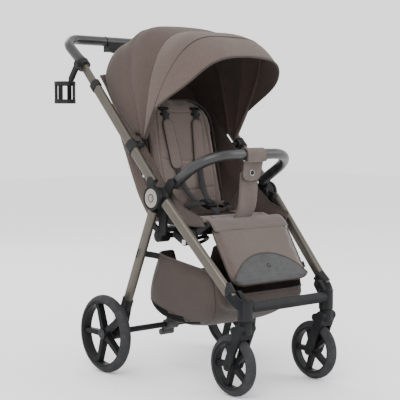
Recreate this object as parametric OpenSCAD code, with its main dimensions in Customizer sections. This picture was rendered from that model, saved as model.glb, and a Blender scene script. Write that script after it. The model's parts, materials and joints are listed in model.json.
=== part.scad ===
// Folding pushchair: aluminium tube frame, caster front wheels, hinged canopy, reclining seat.
// +Z up, the child faces -Y, the child's left is +X.
// The origin is on the floor, under the middle of the overall length and width.

/* [Frame] */
// Height of the side hub axis above the floor
hub_z = 590; // [560:1:620]
// Height of the point where the front tube enters the front casting
tube_end_z = 304; // [290:1:320]
// Half width between the middles of the push tubes
push_x = 240; // [236:1:246]
// Half width between the front tube ends
tube_end_x = 206; // [204:1:212]
// Outer oval tube, width seen from the side
tube_w = 36; // [32:1:38]
// Outer oval tube, thickness across the frame
tube_t = 23; // [20:1:24]
// Wall thickness of the oval tubes
tube_wall = 2.6; // [1.5:0.1:3]

/* [Handle] */
// Bare length of inner tube between collar and grip
handle_out = 78; // [60:1:110]
// Grip diameter
grip_d = 34; // [30:1:38]
// Radius of the grip's two corners
grip_corner = 60; // [45:1:80]

/* [Wheels] */
// Rear wheel diameter
rear_d = 258; // [240:1:264]
// Rear wheel width
rear_w = 38; // [30:1:40]
// Front wheel diameter
front_d = 189; // [170:1:190]
// Front wheel width
front_w = 34; // [26:1:36]
// Distance of the front wheel axle behind the swivel pin
trail = 52; // [40:1:60]

/* [Seat] */
// Half width of the seat cushion
seat_x = 165; // [150:1:170]
// Angle of the backrest above the horizontal
back_angle = 77; // [72:1:80]
// Length of the backrest
back_len = 424; // [400:1:440]
// Angle of the leg rest below the horizontal
leg_angle = 58; // [50:1:60]
// Length of the leg rest
leg_len = 226; // [200:1:230]
// Half width of the leg rest below its hinge
leg_x = 176; // [150:1:177]

/* [Canopy] */
// Height of the canopy's outer skin above its pivot
canopy_r = 404; // [390:1:420]
// Half width of the widest canopy section
canopy_x = 214; // [210:1:216]
// Thickness of the canopy's fabric sections
canopy_t = 3.5; // [2.5:0.5:4]

/* [Basket] */
// Depth of the basket floor below the hub axis
basket_r = 428; // [410:1:436]
// Half width of the basket
basket_x = 185; // [180:1:187]

/* [Hidden] */
$fn = 64;

fabric = [0.44, 0.38, 0.36];
dark = [0.2, 0.2, 0.21];
black = [0.1, 0.1, 0.11];
champagne = [0.6, 0.57, 0.53];
slate = [0.38, 0.39, 0.4];

// side view points, as [y, z]
hub = [-74, hub_z];
tube_end = [-394, tube_end_z];
rise = atan2(hub_z + 431.6 - tube_end_z, 714); // slope of the straight side line
along = [cos(rise), sin(rise)];
hub_s = 428;      // distance from the tube end to abreast of the hub
collar_s = 916;   // distance from the tube end to the collar
grip_s = collar_s + 14 + handle_out;
rear_axle_at = [148, rear_d / 2];
front_axle_at = [-368, front_d / 2];
swivel_y = front_axle_at[0] - trail;
rear_x = 281;     // middle of a rear wheel
caster_x = 177;   // middle of a front wheel
leg_a = atan2(212 - hub_z, 186);
spring_low = [-225, rear_axle_at[0] + 26, rear_axle_at[1] + 14];
spring_top = [-225, rear_axle_at[0] + 2, rear_axle_at[1] + 78];
clear = 0.15;     // gap between pieces of one body
run = 0.1;        // radial gap round a pin
slack = 0.02;     // how far a straight side sits inside the round it runs into

function on_line(s, off = 0) = tube_end + s * along + off * [-along[1], along[0]];
function at_hub(r, a) = hub + r * [cos(a), sin(a)];
function p3(x, q) = [x, q[0], q[1]];
function unit(v) = v / norm(v);

// stadium from p to q in 2D, radius r
module slot2(p, q, r) {
  translate(p) circle(r);
  translate(q) circle(r);
  translate(p)
    rotate(atan2(q[1] - p[1], q[0] - p[0]))
      translate([0, slack - r])
        square([norm(q - p), 2 * (r - slack)]);
}

// a 2D shape drawn in [y, z], extruded along x from x0 to x1
module plate(x0, x1) {
  translate([x0, 0, 0])
    rotate([90, 0, 90])
      linear_extrude(x1 - x0)
        children();
}

// cylinder along x at a side view point
module rod(x0, x1, q, r) {
  translate([x0, q[0], q[1]])
    rotate([0, 90, 0])
      cylinder(h = x1 - x0, r = r);
}

module oval2(w, t) {
  slot2([-(w - t) / 2, 0], [(w - t) / 2, 0], t / 2);
}

// turns +Z to point from p to q, with the local X in the vertical plane of the line
module aim(p, q) {
  v = q - p;
  translate(p)
    rotate([0, acos(v[2] / norm(v)), atan2(v[1], v[0])])
      children();
}

module oval_bar(p, q, w, t) {
  aim(p, q) linear_extrude(norm(q - p)) oval2(w, t);
}

module oval_tube(p, q, w, t, wall) {
  aim(p, q)
    linear_extrude(norm(q - p))
      difference() {
        oval2(w, t);
        oval2(w - 2 * wall, t - 2 * wall);
      }
}

module both(side) {
  if (side < 0) children();
  else mirror([1, 0, 0]) children();
}

// ---- hub: three lugs on one pin, from the outside in: cover, push lug, front lug, leg lug, seat arm

front_top = p3(-push_x, on_line(hub_s - 42));
front_bottom = p3(-tube_end_x, tube_end);
push_bottom = p3(-push_x, on_line(hub_s + 42));
push_top = p3(-push_x, on_line(collar_s));

module hub_front(side) {
  color(black) both(side) {
    // cover disc with its raised badge ring
    difference() {
      rod(-262, -254, hub, 38);
      rod(-263, -260.6, hub, 33);
    }
    rod(-261.6, -260, hub, 31);
    rod(-255, -203, hub, 8);
    difference() {
      plate(-240, -229) slot2(hub, on_line(hub_s - 52), 17);
      oval_tube(front_top + 2 * unit(front_top - front_bottom), front_bottom,
        tube_w + 2 * clear, tube_t + 2 * clear, tube_wall + 2 * clear + 0.8);
    }
    rod(-240, -229, hub, 34);
    oval_bar(front_top + 4 * unit(front_top - front_bottom), front_top + 34 * unit(front_bottom - front_top),
      tube_w - 2 * tube_wall - 2 * clear, tube_t - 2 * tube_wall - 2 * clear);
  }
}

module front_tube(side) {
  color(champagne) both(side)
    oval_tube(front_top, front_bottom, tube_w, tube_t, tube_wall);
}

module hub_upper(side) {
  color(black) both(side) {
    difference() {
      union() {
        rod(-253, -242, hub, 34);
        plate(-253, -242) slot2(hub, on_line(hub_s + 50), 15);
      }
      rod(-256, -240, hub, 8 + run);
      oval_bar(push_bottom - p3(0, clear * along), push_top, tube_w + 2 * clear, tube_t + 2 * clear);
    }
    oval_bar(p3(-push_x, on_line(hub_s + 41)), p3(-push_x, on_line(hub_s + 76)),
      tube_w - 2 * tube_wall - 2 * clear, tube_t - 2 * tube_wall - 2 * clear);
  }
}

module push_tube(side) {
  color(champagne) both(side)
    oval_tube(push_bottom, push_top, tube_w, tube_t, tube_wall);
}

module collar(side) {
  color(black) both(side)
    aim(push_top, p3(-push_x, on_line(collar_s + 14)))
      translate([0, 0, -12])
        difference() {
          linear_extrude(24) oval2(tube_w + 6, tube_t + 6);
          translate([0, 0, -1])
            linear_extrude(13.1) oval2(tube_w + 2 * clear, tube_t + 2 * clear);
          linear_extrude(40) oval2(tube_w - 2 * tube_wall - 0.2, tube_t - 2 * tube_wall - 0.2);
        }
}

// ---- front casting and casters

module front_casting() {
  down = -along;
  bend = 50;
  start = on_line(8);
  color(dark)
    difference() {
      union() {
        for (side = [-1, 1]) both(side) {
          oval_bar(p3(-tube_end_x + 3.5, on_line(44)), p3(-tube_end_x, start), tube_w + 8, tube_t + 8);
          // corner in the slanted plane of the side tubes
          translate(p3(-tube_end_x + bend, start))
            rotate([rise - 180, 0, 0])
              rotate([0, 0, 90])
                rotate_extrude(angle = 90)
                  translate([bend, 0])
                    circle(17);
          translate([-caster_x, swivel_y, 236])
            cylinder(h = 62, r = 23);
          plate(-caster_x - 8, -caster_x + 8)
            slot2([swivel_y, 270], on_line(8), 15);
        }
        rod(-tube_end_x + bend, tube_end_x - bend, start + bend * down, 17);
      }
      for (side = [-1, 1]) both(side) {
        oval_bar(front_bottom, front_top, tube_w + 2 * clear, tube_t + 2 * clear);
        translate([-caster_x, swivel_y, 230])
          cylinder(h = 56, r = 8 + run);
      }
    }
}

module caster_fork(side) {
  axle = front_axle_at;
  color(dark) both(side)
    difference() {
      union() {
        translate([-caster_x, swivel_y, 200]) cylinder(h = 84, r = 8);
        translate([-caster_x, swivel_y, 196]) cylinder(h = 38, r = 21);
        difference() {
          plate(-caster_x - 29, -caster_x + 29) {
            slot2([swivel_y, 214], axle, 15);
            slot2([swivel_y - 4, 214], [swivel_y + 22, 206], 13);
          }
          rod(-caster_x - 20, -caster_x + 20, axle, front_d / 2 + 4);
        }
        rod(-caster_x - 31, -caster_x + 31, axle, 5);
      }
      translate([-caster_x, swivel_y, 234])
        difference() {
          cylinder(h = 60, r = 40);
          translate([0, 0, -1]) cylinder(h = 70, r = 8);
        }
    }
}

// ---- wheels

module wheel_rim(q, x, d, w, bore) {
  rim_r = d / 2 - 21;
  color(dark)
    difference() {
      union() {
        translate([x, q[0], q[1]])
          rotate([0, 90, 0]) {
            rotate_extrude($fn = 96)
              translate([rim_r - 6, -w / 2 + 4])
                square([8, w - 8]);
            cylinder(h = w - 6, r = 17, center = true);
            for (k = [0:4])
              rotate(k * 72 + 18)
                translate([0, 0, -w / 2 + 8])
                  linear_extrude(w - 16)
                    polygon([[10, -9], [rim_r - 3, -6.5], [rim_r - 3, 6.5], [10, 9]]);
          }
      }
      rod(x - w, x + w, q, bore);
    }
}

module tyre(q, x, d, w) {
  r0 = d / 2 - 19 + clear;
  bulge = w / 2;
  color(black)
    translate([x, q[0], q[1]])
      rotate([0, 90, 0])
        rotate_extrude($fn = 96)
          intersection() {
            translate([r0, -w / 2]) square([d / 2 - r0, w]);
            union() {
              translate([d / 2 - bulge, 0]) circle(bulge);
              translate([r0, -w / 2 + 2]) square([6, w - 4]);
            }
          }
}

// ---- rear legs

leg_top = p3(-235, at_hub(46, leg_a));
leg_low = p3(-224, at_hub(414, leg_a));

module hub_rear(side) {
  color(black) both(side) {
    difference() {
      union() {
        rod(-228, -216, hub, 33);
        difference() {
          plate(-228, -216) slot2(hub, at_hub(56, leg_a), 15);
          oval_tube(leg_top - 1.5 * unit(leg_low - leg_top), leg_low,
            tube_w + 2 * clear, tube_t + 2 * clear, tube_wall + 2 * clear + 0.8);
        }
      }
      rod(-230, -214, hub, 8 + run);
    }
    oval_bar(leg_top - 4 * unit(leg_low - leg_top), leg_top + 34 * unit(leg_low - leg_top),
      tube_w - 2 * tube_wall - 2 * clear, tube_t - 2 * tube_wall - 2 * clear);
  }
}

module rear_leg(side) {
  color(champagne) both(side)
    oval_tube(leg_top, leg_low, tube_w, tube_t, tube_wall);
}

module leg_foot(side) {
  foot = at_hub(440, leg_a);
  color(black) both(side)
    difference() {
      union() {
        oval_bar(leg_low - 30 * unit(leg_low - leg_top), leg_low + 6 * unit(leg_low - leg_top), tube_w + 7, tube_t + 7);
        plate(-238, -212) slot2(at_hub(424, leg_a), rear_axle_at - [12, -4], 17);
        rod(-252, -210, rear_axle_at, 24);
      }
      oval_bar(leg_top, leg_low, tube_w + 2 * clear, tube_t + 2 * clear);
      rod(-260, -200, rear_axle_at, 9 + clear);
      aim(spring_low - clear * unit(spring_top - spring_low), spring_top) cylinder(h = 40, r = 8.2 + clear);
    }
}

// small visible coil of the rear suspension, between foot and leg
module spring(side) {
  color(champagne) both(side)
    aim(spring_low, spring_top) {
      cylinder(h = norm(spring_top - spring_low), r = 4);
      for (k = [0:5])
        translate([0, 0, 6 + k * 10])
          rotate_extrude() translate([6, 0]) circle(2.2);
    }
}

module rear_axle() {
  color(black) {
    rod(-206, 206, rear_axle_at, 10);
    rod(-302 + 4, 302 - 4, rear_axle_at, 9 - 3);
    rod(-254, 254, rear_axle_at, 9);
  }
}

module brake_pedal() {
  q = rear_axle_at;
  color(slate)
    difference() {
      union() {
        rod(-24, 24, q, 17);
        plate(-22, 22) slot2(q + [-16, 30], q + [20, -26], 8);
        rod(-26, 26, q + [-18, 32], 10);
        rod(-26, 26, q + [24, -30], 11);
      }
      rod(-40, 40, q, 10 + run);
    }
}

// ---- basket: a front and a rear tray, both curved about the hub axis so that they slide together

function fan(r, a0, a1, n = 1) = [for (i = [0:n]) r * [cos(a0 + (a1 - a0) * i / n), sin(a0 + (a1 - a0) * i / n)]];

// wedge of the side view about the hub, from a0 to a1
module wedge2(a0, a1, r = 700) {
  translate(hub)
    polygon(concat([[0, 0]], fan(r, a0, a1, 6)));
}

module basket_side2(r) {
  // area between the basket's floor curve and its sloping top edge
  intersection() {
    translate(hub) circle(r, $fn = 128);
    polygon([[-345, 130], [-345, 352], [32, 404], [260, 404], [260, 130]]);
  }
}

module basket_tray(x, r, a0, a1, wall, a_in0, a_in1) {
  difference() {
    plate(-x, x)
      intersection() {
        basket_side2(r);
        wedge2(a0, a1);
      }
    plate(-x + wall, x - wall)
      intersection() {
        translate(hub) circle(r - wall, $fn = 128);
        wedge2(a_in0, a_in1);
      }
  }
}

module basket_front() {
  color(fabric)
    difference() {
      basket_tray(basket_x, basket_r, 222, 272, 3, 222.6, 300);
      // the front wall is lower in the middle, behind the leg rest
      translate([4 - basket_x, -380, 292]) cube([2 * basket_x - 8, 90, 90]);
    }
}

module basket_rear() {
  color(fabric)
    difference() {
      basket_tray(basket_x - 3.6, basket_r - 4.2, 270.6, 297.5, 3, 200, 296.9);
      // loading mouth in the rear wall
      translate([-90, -60, 330]) cube([180, 200, 90]);
      translate([-62, -60, 302]) cube([124, 200, 90]);
    }
}

// ---- seat

seat_hinge = [34, 506];
leg_hinge = [-238, 510];
bumper_at = [-112, 636];
bumper_tilt = 31;

module seat_base() {
  color(black) {
    // board under the cushion, with the hole for the recline ring's stem
    difference() {
      plate(-168, 168) slot2([-200, 486], [12, 486], 6);
      translate([0, -31, 470]) cylinder(h = 30, r = 3.5 + run);
    }
    for (side = [-1, 1]) both(side) {
      // arm from the board up to the hub and on to the bumper bar
      difference() {
        union() {
          plate(-214, -205) {
            slot2(hub, [-70, 486], 18);
            slot2(hub, bumper_at, 16);
          }
          plate(-214, -160) slot2([-84, 486], [-56, 486], 6.5);
        }
        rod(-216, -200, hub, 8 + run);
      }
      rod(-206, -188, bumper_at, 6);
      // hinge cheek of the backrest
      plate(-181, -172) slot2([0, 480], seat_hinge, 9);
      rod(-181, -156, seat_hinge, 5);
      plate(-181, -160) slot2([1, 483.5], [8, 483.5], 7);
      // recline drum and front lever
      rod(-160, -120, [20, 456], 20);
      plate(-152, -130) slot2([8, 480], [20, 456], 10);
      plate(-172, -162) slot2([-180, 478], [-130, 448], 9);
      plate(-172, -162) slot2([-130, 448], [-84, 470], 11);
      plate(-172, -160) slot2([-180, 482], [-170, 482], 8);
      // pivot ear of the leg rest
      plate(-172, -165.5) slot2([-200, 488], leg_hinge, 9);
      rod(-172, -150, leg_hinge, 5);
    }
    rod(-130, 130, [20, 456], 9);
  }
}

module seat_cushion() {
  color(fabric)
    plate(-seat_x, seat_x)
      difference() {
        union() {
          translate([-206, 493]) square([206, 36]);
          translate([-206, 511]) circle(14);
        }
        translate(leg_hinge) circle(16);
      }
}

module seat_side(side) {
  color(fabric) both(side)
    plate(-197, -189)
      polygon([[-70, 506], [-78, 560], [-52, 640], [6, 716], [60, 792], [118, 800], [96, 700], [60, 560], [44, 510]]);
}

module pull_ring() {
  c = [2, 432];
  color(black) {
    translate(p3(0, c))
      rotate([-26, 0, 0])
        rotate_extrude() translate([34, 0]) circle(6);
    plate(-9, 9) slot2([-31, 452], [-31, 464], 5);
    translate([0, -31, 460]) cylinder(h = 31, r = 3.5);
  }
}

module crotch_strap() {
  color(fabric)
    plate(-40, 40)
      slot2([-236, 548], [-251, 652], 3);
}

module buckle() {
  color(black) {
    plate(-26, 26) slot2([-72, 552], [-40, 566], 11);
    plate(-13, 13) slot2([-74, 534], [-70, 548], 4);
  }
}

module backrest() {
  color(fabric)
    translate(p3(0, seat_hinge))
      rotate([back_angle, 0, 0])
        difference() {
          union() {
            translate([-152, 16, -16]) cube([304, back_len - 16 - 60, 32]);
            intersection() {
              translate([-152, 16, -16]) cube([304, back_len - 16, 32]);
              for (x = [-92, 92])
                translate([x, back_len - 60, -16]) cylinder(h = 32, r = 60);
            }
            translate([-92, 16, -16]) cube([184, back_len - 16, 32]);
            translate([-152, 0, 0])
              rotate([0, 90, 0])
                cylinder(h = 304, r = 14);
            translate([-152, 0, -14]) cube([304, 30, 28]);
          }
          translate([-160, 0, 0])
            rotate([0, 90, 0])
              cylinder(h = 320, r = 5 + run);
        }
}

// rear cover of the backrest, with its arched ventilation window
module back_cover() {
  color(fabric)
    translate(p3(0, seat_hinge))
      rotate([back_angle, 0, 0])
        translate([0, 0, -62])
          difference() {
            union() {
              translate([-166, 70, 0]) cube([332, back_len - 134, 8]);
              for (x = [-106, 106])
                translate([x, back_len - 64, 0]) cylinder(h = 8, r = 60);
              translate([-106, 70, 0]) cube([212, back_len - 74, 8]);
              for (x = [-166, 158])
                translate([x, 70, 0]) cube([8, back_len - 140, 62]);
            }
            translate([-78, 140, -1]) cube([156, 110, 10]);
            translate([0, 250, -1]) cylinder(h = 10, r = 78);
          }
}

module harness_pad(side) {
  color(fabric) both(side)
    translate(p3(0, seat_hinge))
      rotate([back_angle, 0, 0])
        translate([-68, 340, 17])
          rotate(-84)
            linear_extrude(9)
              slot2([0, 0], [170, 0], 23);
}

module leg_rest() {
  color(fabric)
    translate(p3(0, leg_hinge))
      rotate([leg_angle, 0, 0])
        rotate([0, 0, 180])
          leg_body();
}

// drawn lying along +Y from the hinge, front face up
module leg_body() {
  difference() {
    union() {
      rotate([0, 90, 0]) cylinder(h = 296, r = 13, center = true);
      translate([-148, 0, -13]) cube([296, 40, 26]);
      translate([-leg_x, 24, -13]) cube([2 * leg_x, leg_len - 64, 26]);
      translate([30 - leg_x, 24, -13]) cube([2 * leg_x - 60, leg_len - 24, 26]);
      for (x = [30 - leg_x, leg_x - 30])
        translate([x, leg_len - 40, -13])
          intersection() {
            cylinder(h = 26, r = 40);
            translate([x > 0 ? 0 : -30, 0, 0]) cube([30, 60, 26]);
          }
    }
    rotate([0, 90, 0]) cylinder(h = 320, r = 5 + run, center = true);
  }
}

module leg_patch() {
  color(slate)
    translate(p3(0, leg_hinge))
      rotate([leg_angle, 0, 0])
        rotate([0, 0, 180])
          translate([0, 0, 13.2])
            linear_extrude(2)
              intersection() {
                translate([0, leg_len + 84]) circle(192);
                translate([-leg_x + 14, 100]) square([2 * leg_x - 28, leg_len - 108]);
              }
}

module bumper_bar() {
  arm = 76;
  bend = 104;
  half = 195;
  color(black)
    difference() {
      union() {
        translate(p3(0, bumper_at))
          rotate([-bumper_tilt, 0, 0])
            for (side = [-1, 1]) both(side) {
              translate([-half, 0, 0]) rotate([90, 0, 0]) cylinder(h = arm, r = 17);
              translate([-half + bend, -arm, 0])
                rotate([0, 0, 180])
                  rotate_extrude(angle = 90)
                    translate([bend, 0])
                      circle(17);
              translate([-half + bend, -arm - bend, 0])
                rotate([0, 90, 0])
                  cylinder(h = half - bend, r = 17);
            }
        for (side = [-1, 1]) both(side) rod(-204.5, -186, bumper_at, 17);
      }
      for (side = [-1, 1]) both(side) rod(-230, -180, bumper_at, 6 + run);
      for (side = [-1, 1]) both(side) rod(-230, -204.7, bumper_at, 30);
    }
}

module strap_loop() {
  c = bumper_at + 180 * [-cos(bumper_tilt), sin(bumper_tilt)];
  color(fabric)
    plate(-42, 42)
      difference() {
        union() {
          translate(c) circle(21);
          slot2(c + [-17.5, 0], [-257.5, 662], 2.5);
        }
        translate(c) circle(17.3);
      }
}

// ---- canopy: three nested curved sections on one pivot line

canopy_at = [46, 755];

// arch seen along the radius: half width x, height r, corner blend c
module arch2(x, r, c) {
  translate([0, slack - x]) square([r - c, 2 * (x - slack)]);
  translate([0, c - x]) square([r - slack, 2 * (x - c)]);
  for (m = [-1, 1])
    translate([r - c, m * (x - c)]) circle(c);
}

module canopy_section(x, r, a0, a1) {
  c = 150;
  translate(p3(0, canopy_at))
    rotate([0, 90, 0])
      rotate([0, 0, 90])
        difference() {
          union() {
            rotate([0, 0, a0])
              rotate_extrude(angle = a1 - a0, $fn = 128)
                difference() {
                  intersection() {
                    arch2(x, r, c);
                    translate([30, -x - 5]) square([r, 2 * x + 10]);
                  }
                  arch2(x - canopy_t, r - canopy_t, c - canopy_t);
                }
            for (m = [0, 1])
              mirror([0, 0, m])
                translate([0, 0, x - canopy_t])
                  cylinder(h = canopy_t, r = 36);
          }
          cylinder(h = 600, r = 7 + run, center = true);
        }
}

module canopy_rear() {
  color(fabric) canopy_section(canopy_x - 10, canopy_r - 15, 43, 69);
}

module canopy_main() {
  color(fabric) canopy_section(canopy_x - 5, canopy_r - 7.5, 70, 102);
}

module canopy_visor() {
  color(fabric) canopy_section(canopy_x, canopy_r, 103, 136);
}

module canopy_clip(side) {
  s = (canopy_at - tube_end) * along;
  color(black) both(side) {
    aim(p3(-push_x, on_line(s - 17)), p3(-push_x, on_line(s + 17)))
      linear_extrude(34)
        difference() {
          oval2(tube_w + 8, tube_t + 7);
          oval2(tube_w + 2 * clear, tube_t + 2 * clear);
        }
    difference() {
      union() {
        rod(-228, -216, canopy_at, 15);
        rod(-217, -198, canopy_at, 7);
      }
      aim(p3(-push_x, on_line(s - 40)), p3(-push_x, on_line(s + 40)))
        linear_extrude(80)
          oval2(tube_w + 7, tube_t + 6);
    }
  }
}

// ---- handle

module inner_tube(side) {
  color(champagne) both(side)
    oval_tube(p3(-push_x, on_line(720)), p3(-push_x, on_line(grip_s + 30)),
      tube_w - 2 * tube_wall - 1, tube_t - 2 * tube_wall - 1, 1.6);
}

// the grip: its plane leans back a little from the push tubes
module grip() {
  start = on_line(grip_s) + 34 * along;
  color(black)
    difference() {
      union() {
        for (side = [-1, 1]) both(side) {
          aim(p3(-push_x, on_line(grip_s)), p3(-push_x, on_line(grip_s + 40)))
            cylinder(h = 40, r = grip_d / 2 + 1);
          translate(p3(-push_x, start))
            rotate([grip_lean, 0, 0]) {
              translate([0, -8, 0]) rotate([-90, 0, 0]) cylinder(h = grip_arm + 8, r = grip_d / 2);
              translate([grip_corner, grip_arm, 0])
                rotate([0, 0, 90])
                  rotate_extrude(angle = 90)
                    translate([grip_corner, 0])
                      circle(grip_d / 2);
            }
        }
        rod(grip_corner - push_x, push_x - grip_corner, bar_at, grip_d / 2);
      }
      for (side = [-1, 1]) both(side)
        oval_bar(p3(-push_x, on_line(grip_s - 20)), p3(-push_x, on_line(grip_s + 30 + clear)),
          tube_w - 2 * tube_wall - 1 + 2 * clear, tube_t - 2 * tube_wall - 1 + 2 * clear);
    }
}

grip_lean = 37.5;
grip_arm = 71.8;
bar_at = on_line(grip_s) + 34 * along + (grip_arm + grip_corner) * [cos(grip_lean), sin(grip_lean)];

module release_housing() {
  color(dark)
    difference() {
      translate([-56, bar_at[0] - 17, bar_at[1] - 37]) cube([112, 34, 30]);
      rod(-80, 80, bar_at, grip_d / 2 + clear);
      translate([-30, bar_at[0] - 12, bar_at[1] - 45]) cube([60, 24, 24]);
    }
}

module release_trigger() {
  color(black)
    plate(-28, 28)
      slot2([bar_at[0] - 4, bar_at[1] - 34], [bar_at[0] + 4, bar_at[1] - 34], 6);
}

module cup_holder() {
  c = [-263, 404];
  base_z = 896;
  color(black)
    difference() {
      union() {
        // rings, floor and ribs of the open holder
        for (z = [0, 62])
          translate([c[0], c[1], base_z + z]) cylinder(h = 14, r = 37);
        for (a = [30, 120, 210, 300])
          translate([c[0], c[1], base_z])
            rotate(a)
              translate([30, -8, 0])
                cube([6, 16, 70]);
        // arm and clamp on the lower end of the grip
        plate(-270, -256) slot2([376, 966], on_line(grip_s + 13), 8);
        aim(p3(-push_x, on_line(grip_s + 2)), p3(-push_x, on_line(grip_s + 24)))
          cylinder(h = 22, r = 23);
        rod(-270, -256, on_line(grip_s + 13), 14);
      }
      aim(p3(-push_x, on_line(grip_s - 20)), p3(-push_x, on_line(grip_s + 40)))
        cylinder(h = 60, r = grip_d / 2 + 1 + clear);
      translate([c[0], c[1], base_z + 4]) cylinder(h = 90, r = 33);
    }
}

hub_front(-1);  // hub_front_r
hub_front(1);  // hub_front_l
front_tube(-1);  // front_tube_r
front_tube(1);  // front_tube_l
front_casting();
basket_front();
hub_upper(-1);  // hub_upper_r
hub_upper(1);  // hub_upper_l
push_tube(-1);  // push_tube_r
push_tube(1);  // push_tube_l
collar(-1);  // collar_r
collar(1);  // collar_l
canopy_clip(-1);  // canopy_clip_r
canopy_clip(1);  // canopy_clip_l
seat_base();
seat_cushion();
seat_side(-1);  // seat_side_r
seat_side(1);  // seat_side_l
pull_ring();
crotch_strap();
buckle();
canopy_rear();
canopy_main();
canopy_visor();
inner_tube(-1);  // inner_tube_r
inner_tube(1);  // inner_tube_l
grip();
release_housing();
release_trigger();
cup_holder();
hub_rear(-1);  // hub_rear_r
hub_rear(1);  // hub_rear_l
rear_leg(-1);  // rear_leg_r
rear_leg(1);  // rear_leg_l
leg_foot(-1);  // leg_foot_r
leg_foot(1);  // leg_foot_l
spring(-1);  // spring_r
spring(1);  // spring_l
rear_axle();
basket_rear();
brake_pedal();
wheel_rim(rear_axle_at, -rear_x, rear_d, rear_w, 6 + run);  // rear_rim_r
wheel_rim(rear_axle_at, rear_x, rear_d, rear_w, 6 + run);  // rear_rim_l
tyre(rear_axle_at, -rear_x, rear_d, rear_w);  // rear_tyre_r
tyre(rear_axle_at, rear_x, rear_d, rear_w);  // rear_tyre_l
caster_fork(-1);  // caster_fork_r
caster_fork(1);  // caster_fork_l
wheel_rim(front_axle_at, -caster_x, front_d, front_w, 5 + run);  // front_rim_r
wheel_rim(front_axle_at, caster_x, front_d, front_w, 5 + run);  // front_rim_l
tyre(front_axle_at, -caster_x, front_d, front_w);  // front_tyre_r
tyre(front_axle_at, caster_x, front_d, front_w);  // front_tyre_l
backrest();
back_cover();
harness_pad(-1);  // harness_pad_r
harness_pad(1);  // harness_pad_l
leg_rest();
leg_patch();
bumper_bar();
strap_loop();
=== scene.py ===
# Folding pushchair: soft goods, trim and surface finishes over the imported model.
import json
import math

import bmesh
import bpy
import numpy as np
from mathutils import Matrix, Vector, noise


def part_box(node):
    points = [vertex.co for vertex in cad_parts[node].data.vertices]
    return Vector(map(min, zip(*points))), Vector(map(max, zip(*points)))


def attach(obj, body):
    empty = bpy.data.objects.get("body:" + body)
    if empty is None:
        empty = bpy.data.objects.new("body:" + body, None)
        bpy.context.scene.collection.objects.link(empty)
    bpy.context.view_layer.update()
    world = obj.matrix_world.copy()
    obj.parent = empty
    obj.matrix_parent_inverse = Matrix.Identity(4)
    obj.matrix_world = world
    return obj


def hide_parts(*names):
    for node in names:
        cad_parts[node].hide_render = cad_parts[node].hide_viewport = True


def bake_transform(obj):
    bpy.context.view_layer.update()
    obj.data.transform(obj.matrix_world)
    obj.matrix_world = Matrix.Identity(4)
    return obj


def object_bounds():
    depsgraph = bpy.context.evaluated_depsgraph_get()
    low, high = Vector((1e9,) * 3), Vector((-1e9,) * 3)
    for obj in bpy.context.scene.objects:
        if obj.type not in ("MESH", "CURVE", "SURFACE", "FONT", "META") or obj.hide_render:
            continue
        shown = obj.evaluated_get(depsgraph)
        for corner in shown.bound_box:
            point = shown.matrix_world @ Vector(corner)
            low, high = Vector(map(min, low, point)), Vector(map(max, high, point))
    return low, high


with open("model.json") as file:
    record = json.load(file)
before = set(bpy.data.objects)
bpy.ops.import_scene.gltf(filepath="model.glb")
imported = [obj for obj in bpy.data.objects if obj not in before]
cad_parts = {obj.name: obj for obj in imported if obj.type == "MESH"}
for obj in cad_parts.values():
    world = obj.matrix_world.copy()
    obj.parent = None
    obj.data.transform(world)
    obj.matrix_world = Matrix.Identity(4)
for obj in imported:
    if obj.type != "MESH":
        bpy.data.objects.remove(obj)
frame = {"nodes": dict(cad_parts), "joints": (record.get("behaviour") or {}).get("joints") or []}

cad_lo, cad_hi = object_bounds()

# ---------------------------------------------------------------- node materials


def new_mat(name, rough=0.6, metallic=0.0, specular=0.5):
    m = bpy.data.materials.new(name)
    m.use_nodes = True
    nt = m.node_tree
    b = nt.nodes["Principled BSDF"]
    b.inputs["Roughness"].default_value = rough
    b.inputs["Metallic"].default_value = metallic
    b.inputs["Specular IOR Level"].default_value = specular
    return m, nt, b


def node(nt, kind, **inputs):
    n = nt.nodes.new(kind)
    for k, v in inputs.items():
        n.inputs[k.replace("_", " ")].default_value = v
    return n


def object_coords(nt):
    return nt.nodes.new("ShaderNodeTexCoord").outputs["Object"]


def noise_of(nt, at, scale, detail=2.0, rough=0.5):
    n = node(nt, "ShaderNodeTexNoise", Scale=scale, Detail=detail, Roughness=rough)
    nt.links.new(at, n.inputs["Vector"])
    return n.outputs["Fac"]


def ramp(nt, fac, stops):
    r = nt.nodes.new("ShaderNodeValToRGB")
    el = r.color_ramp.elements
    while len(el) < len(stops):
        el.new(0.5)
    for e, (p, c) in zip(el, stops):
        e.position = p
        e.color = (*c, 1) if hasattr(c, "__len__") else (c, c, c, 1)
    nt.links.new(fac, r.inputs["Fac"])
    return r.outputs["Color"]


def mix(nt, fac, a, b, mode="MIX"):
    m = nt.nodes.new("ShaderNodeMix")
    m.data_type = "RGBA"
    m.blend_type = mode
    for sock, v in ((m.inputs["Factor"], fac), (m.inputs["A"], a), (m.inputs["B"], b)):
        if isinstance(v, bpy.types.NodeSocket):
            nt.links.new(v, sock)
        elif hasattr(v, "__len__"):
            sock.default_value = (*v, 1)
        else:
            sock.default_value = v
    # the colour output of a Mix node is its third
    return m.outputs[2]


def math_node(nt, op, a, b=0.0):
    m = nt.nodes.new("ShaderNodeMath")
    m.operation = op
    for sock, v in ((m.inputs[0], a), (m.inputs[1], b)):
        if isinstance(v, bpy.types.NodeSocket):
            nt.links.new(v, sock)
        else:
            sock.default_value = v
    return m.outputs[0]


def bump(nt, b, height, distance, strength=1.0):
    n = node(nt, "ShaderNodeBump", Distance=distance, Strength=strength)
    nt.links.new(height, n.inputs["Height"])
    nt.links.new(n.outputs["Normal"], b.inputs["Normal"])


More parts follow.
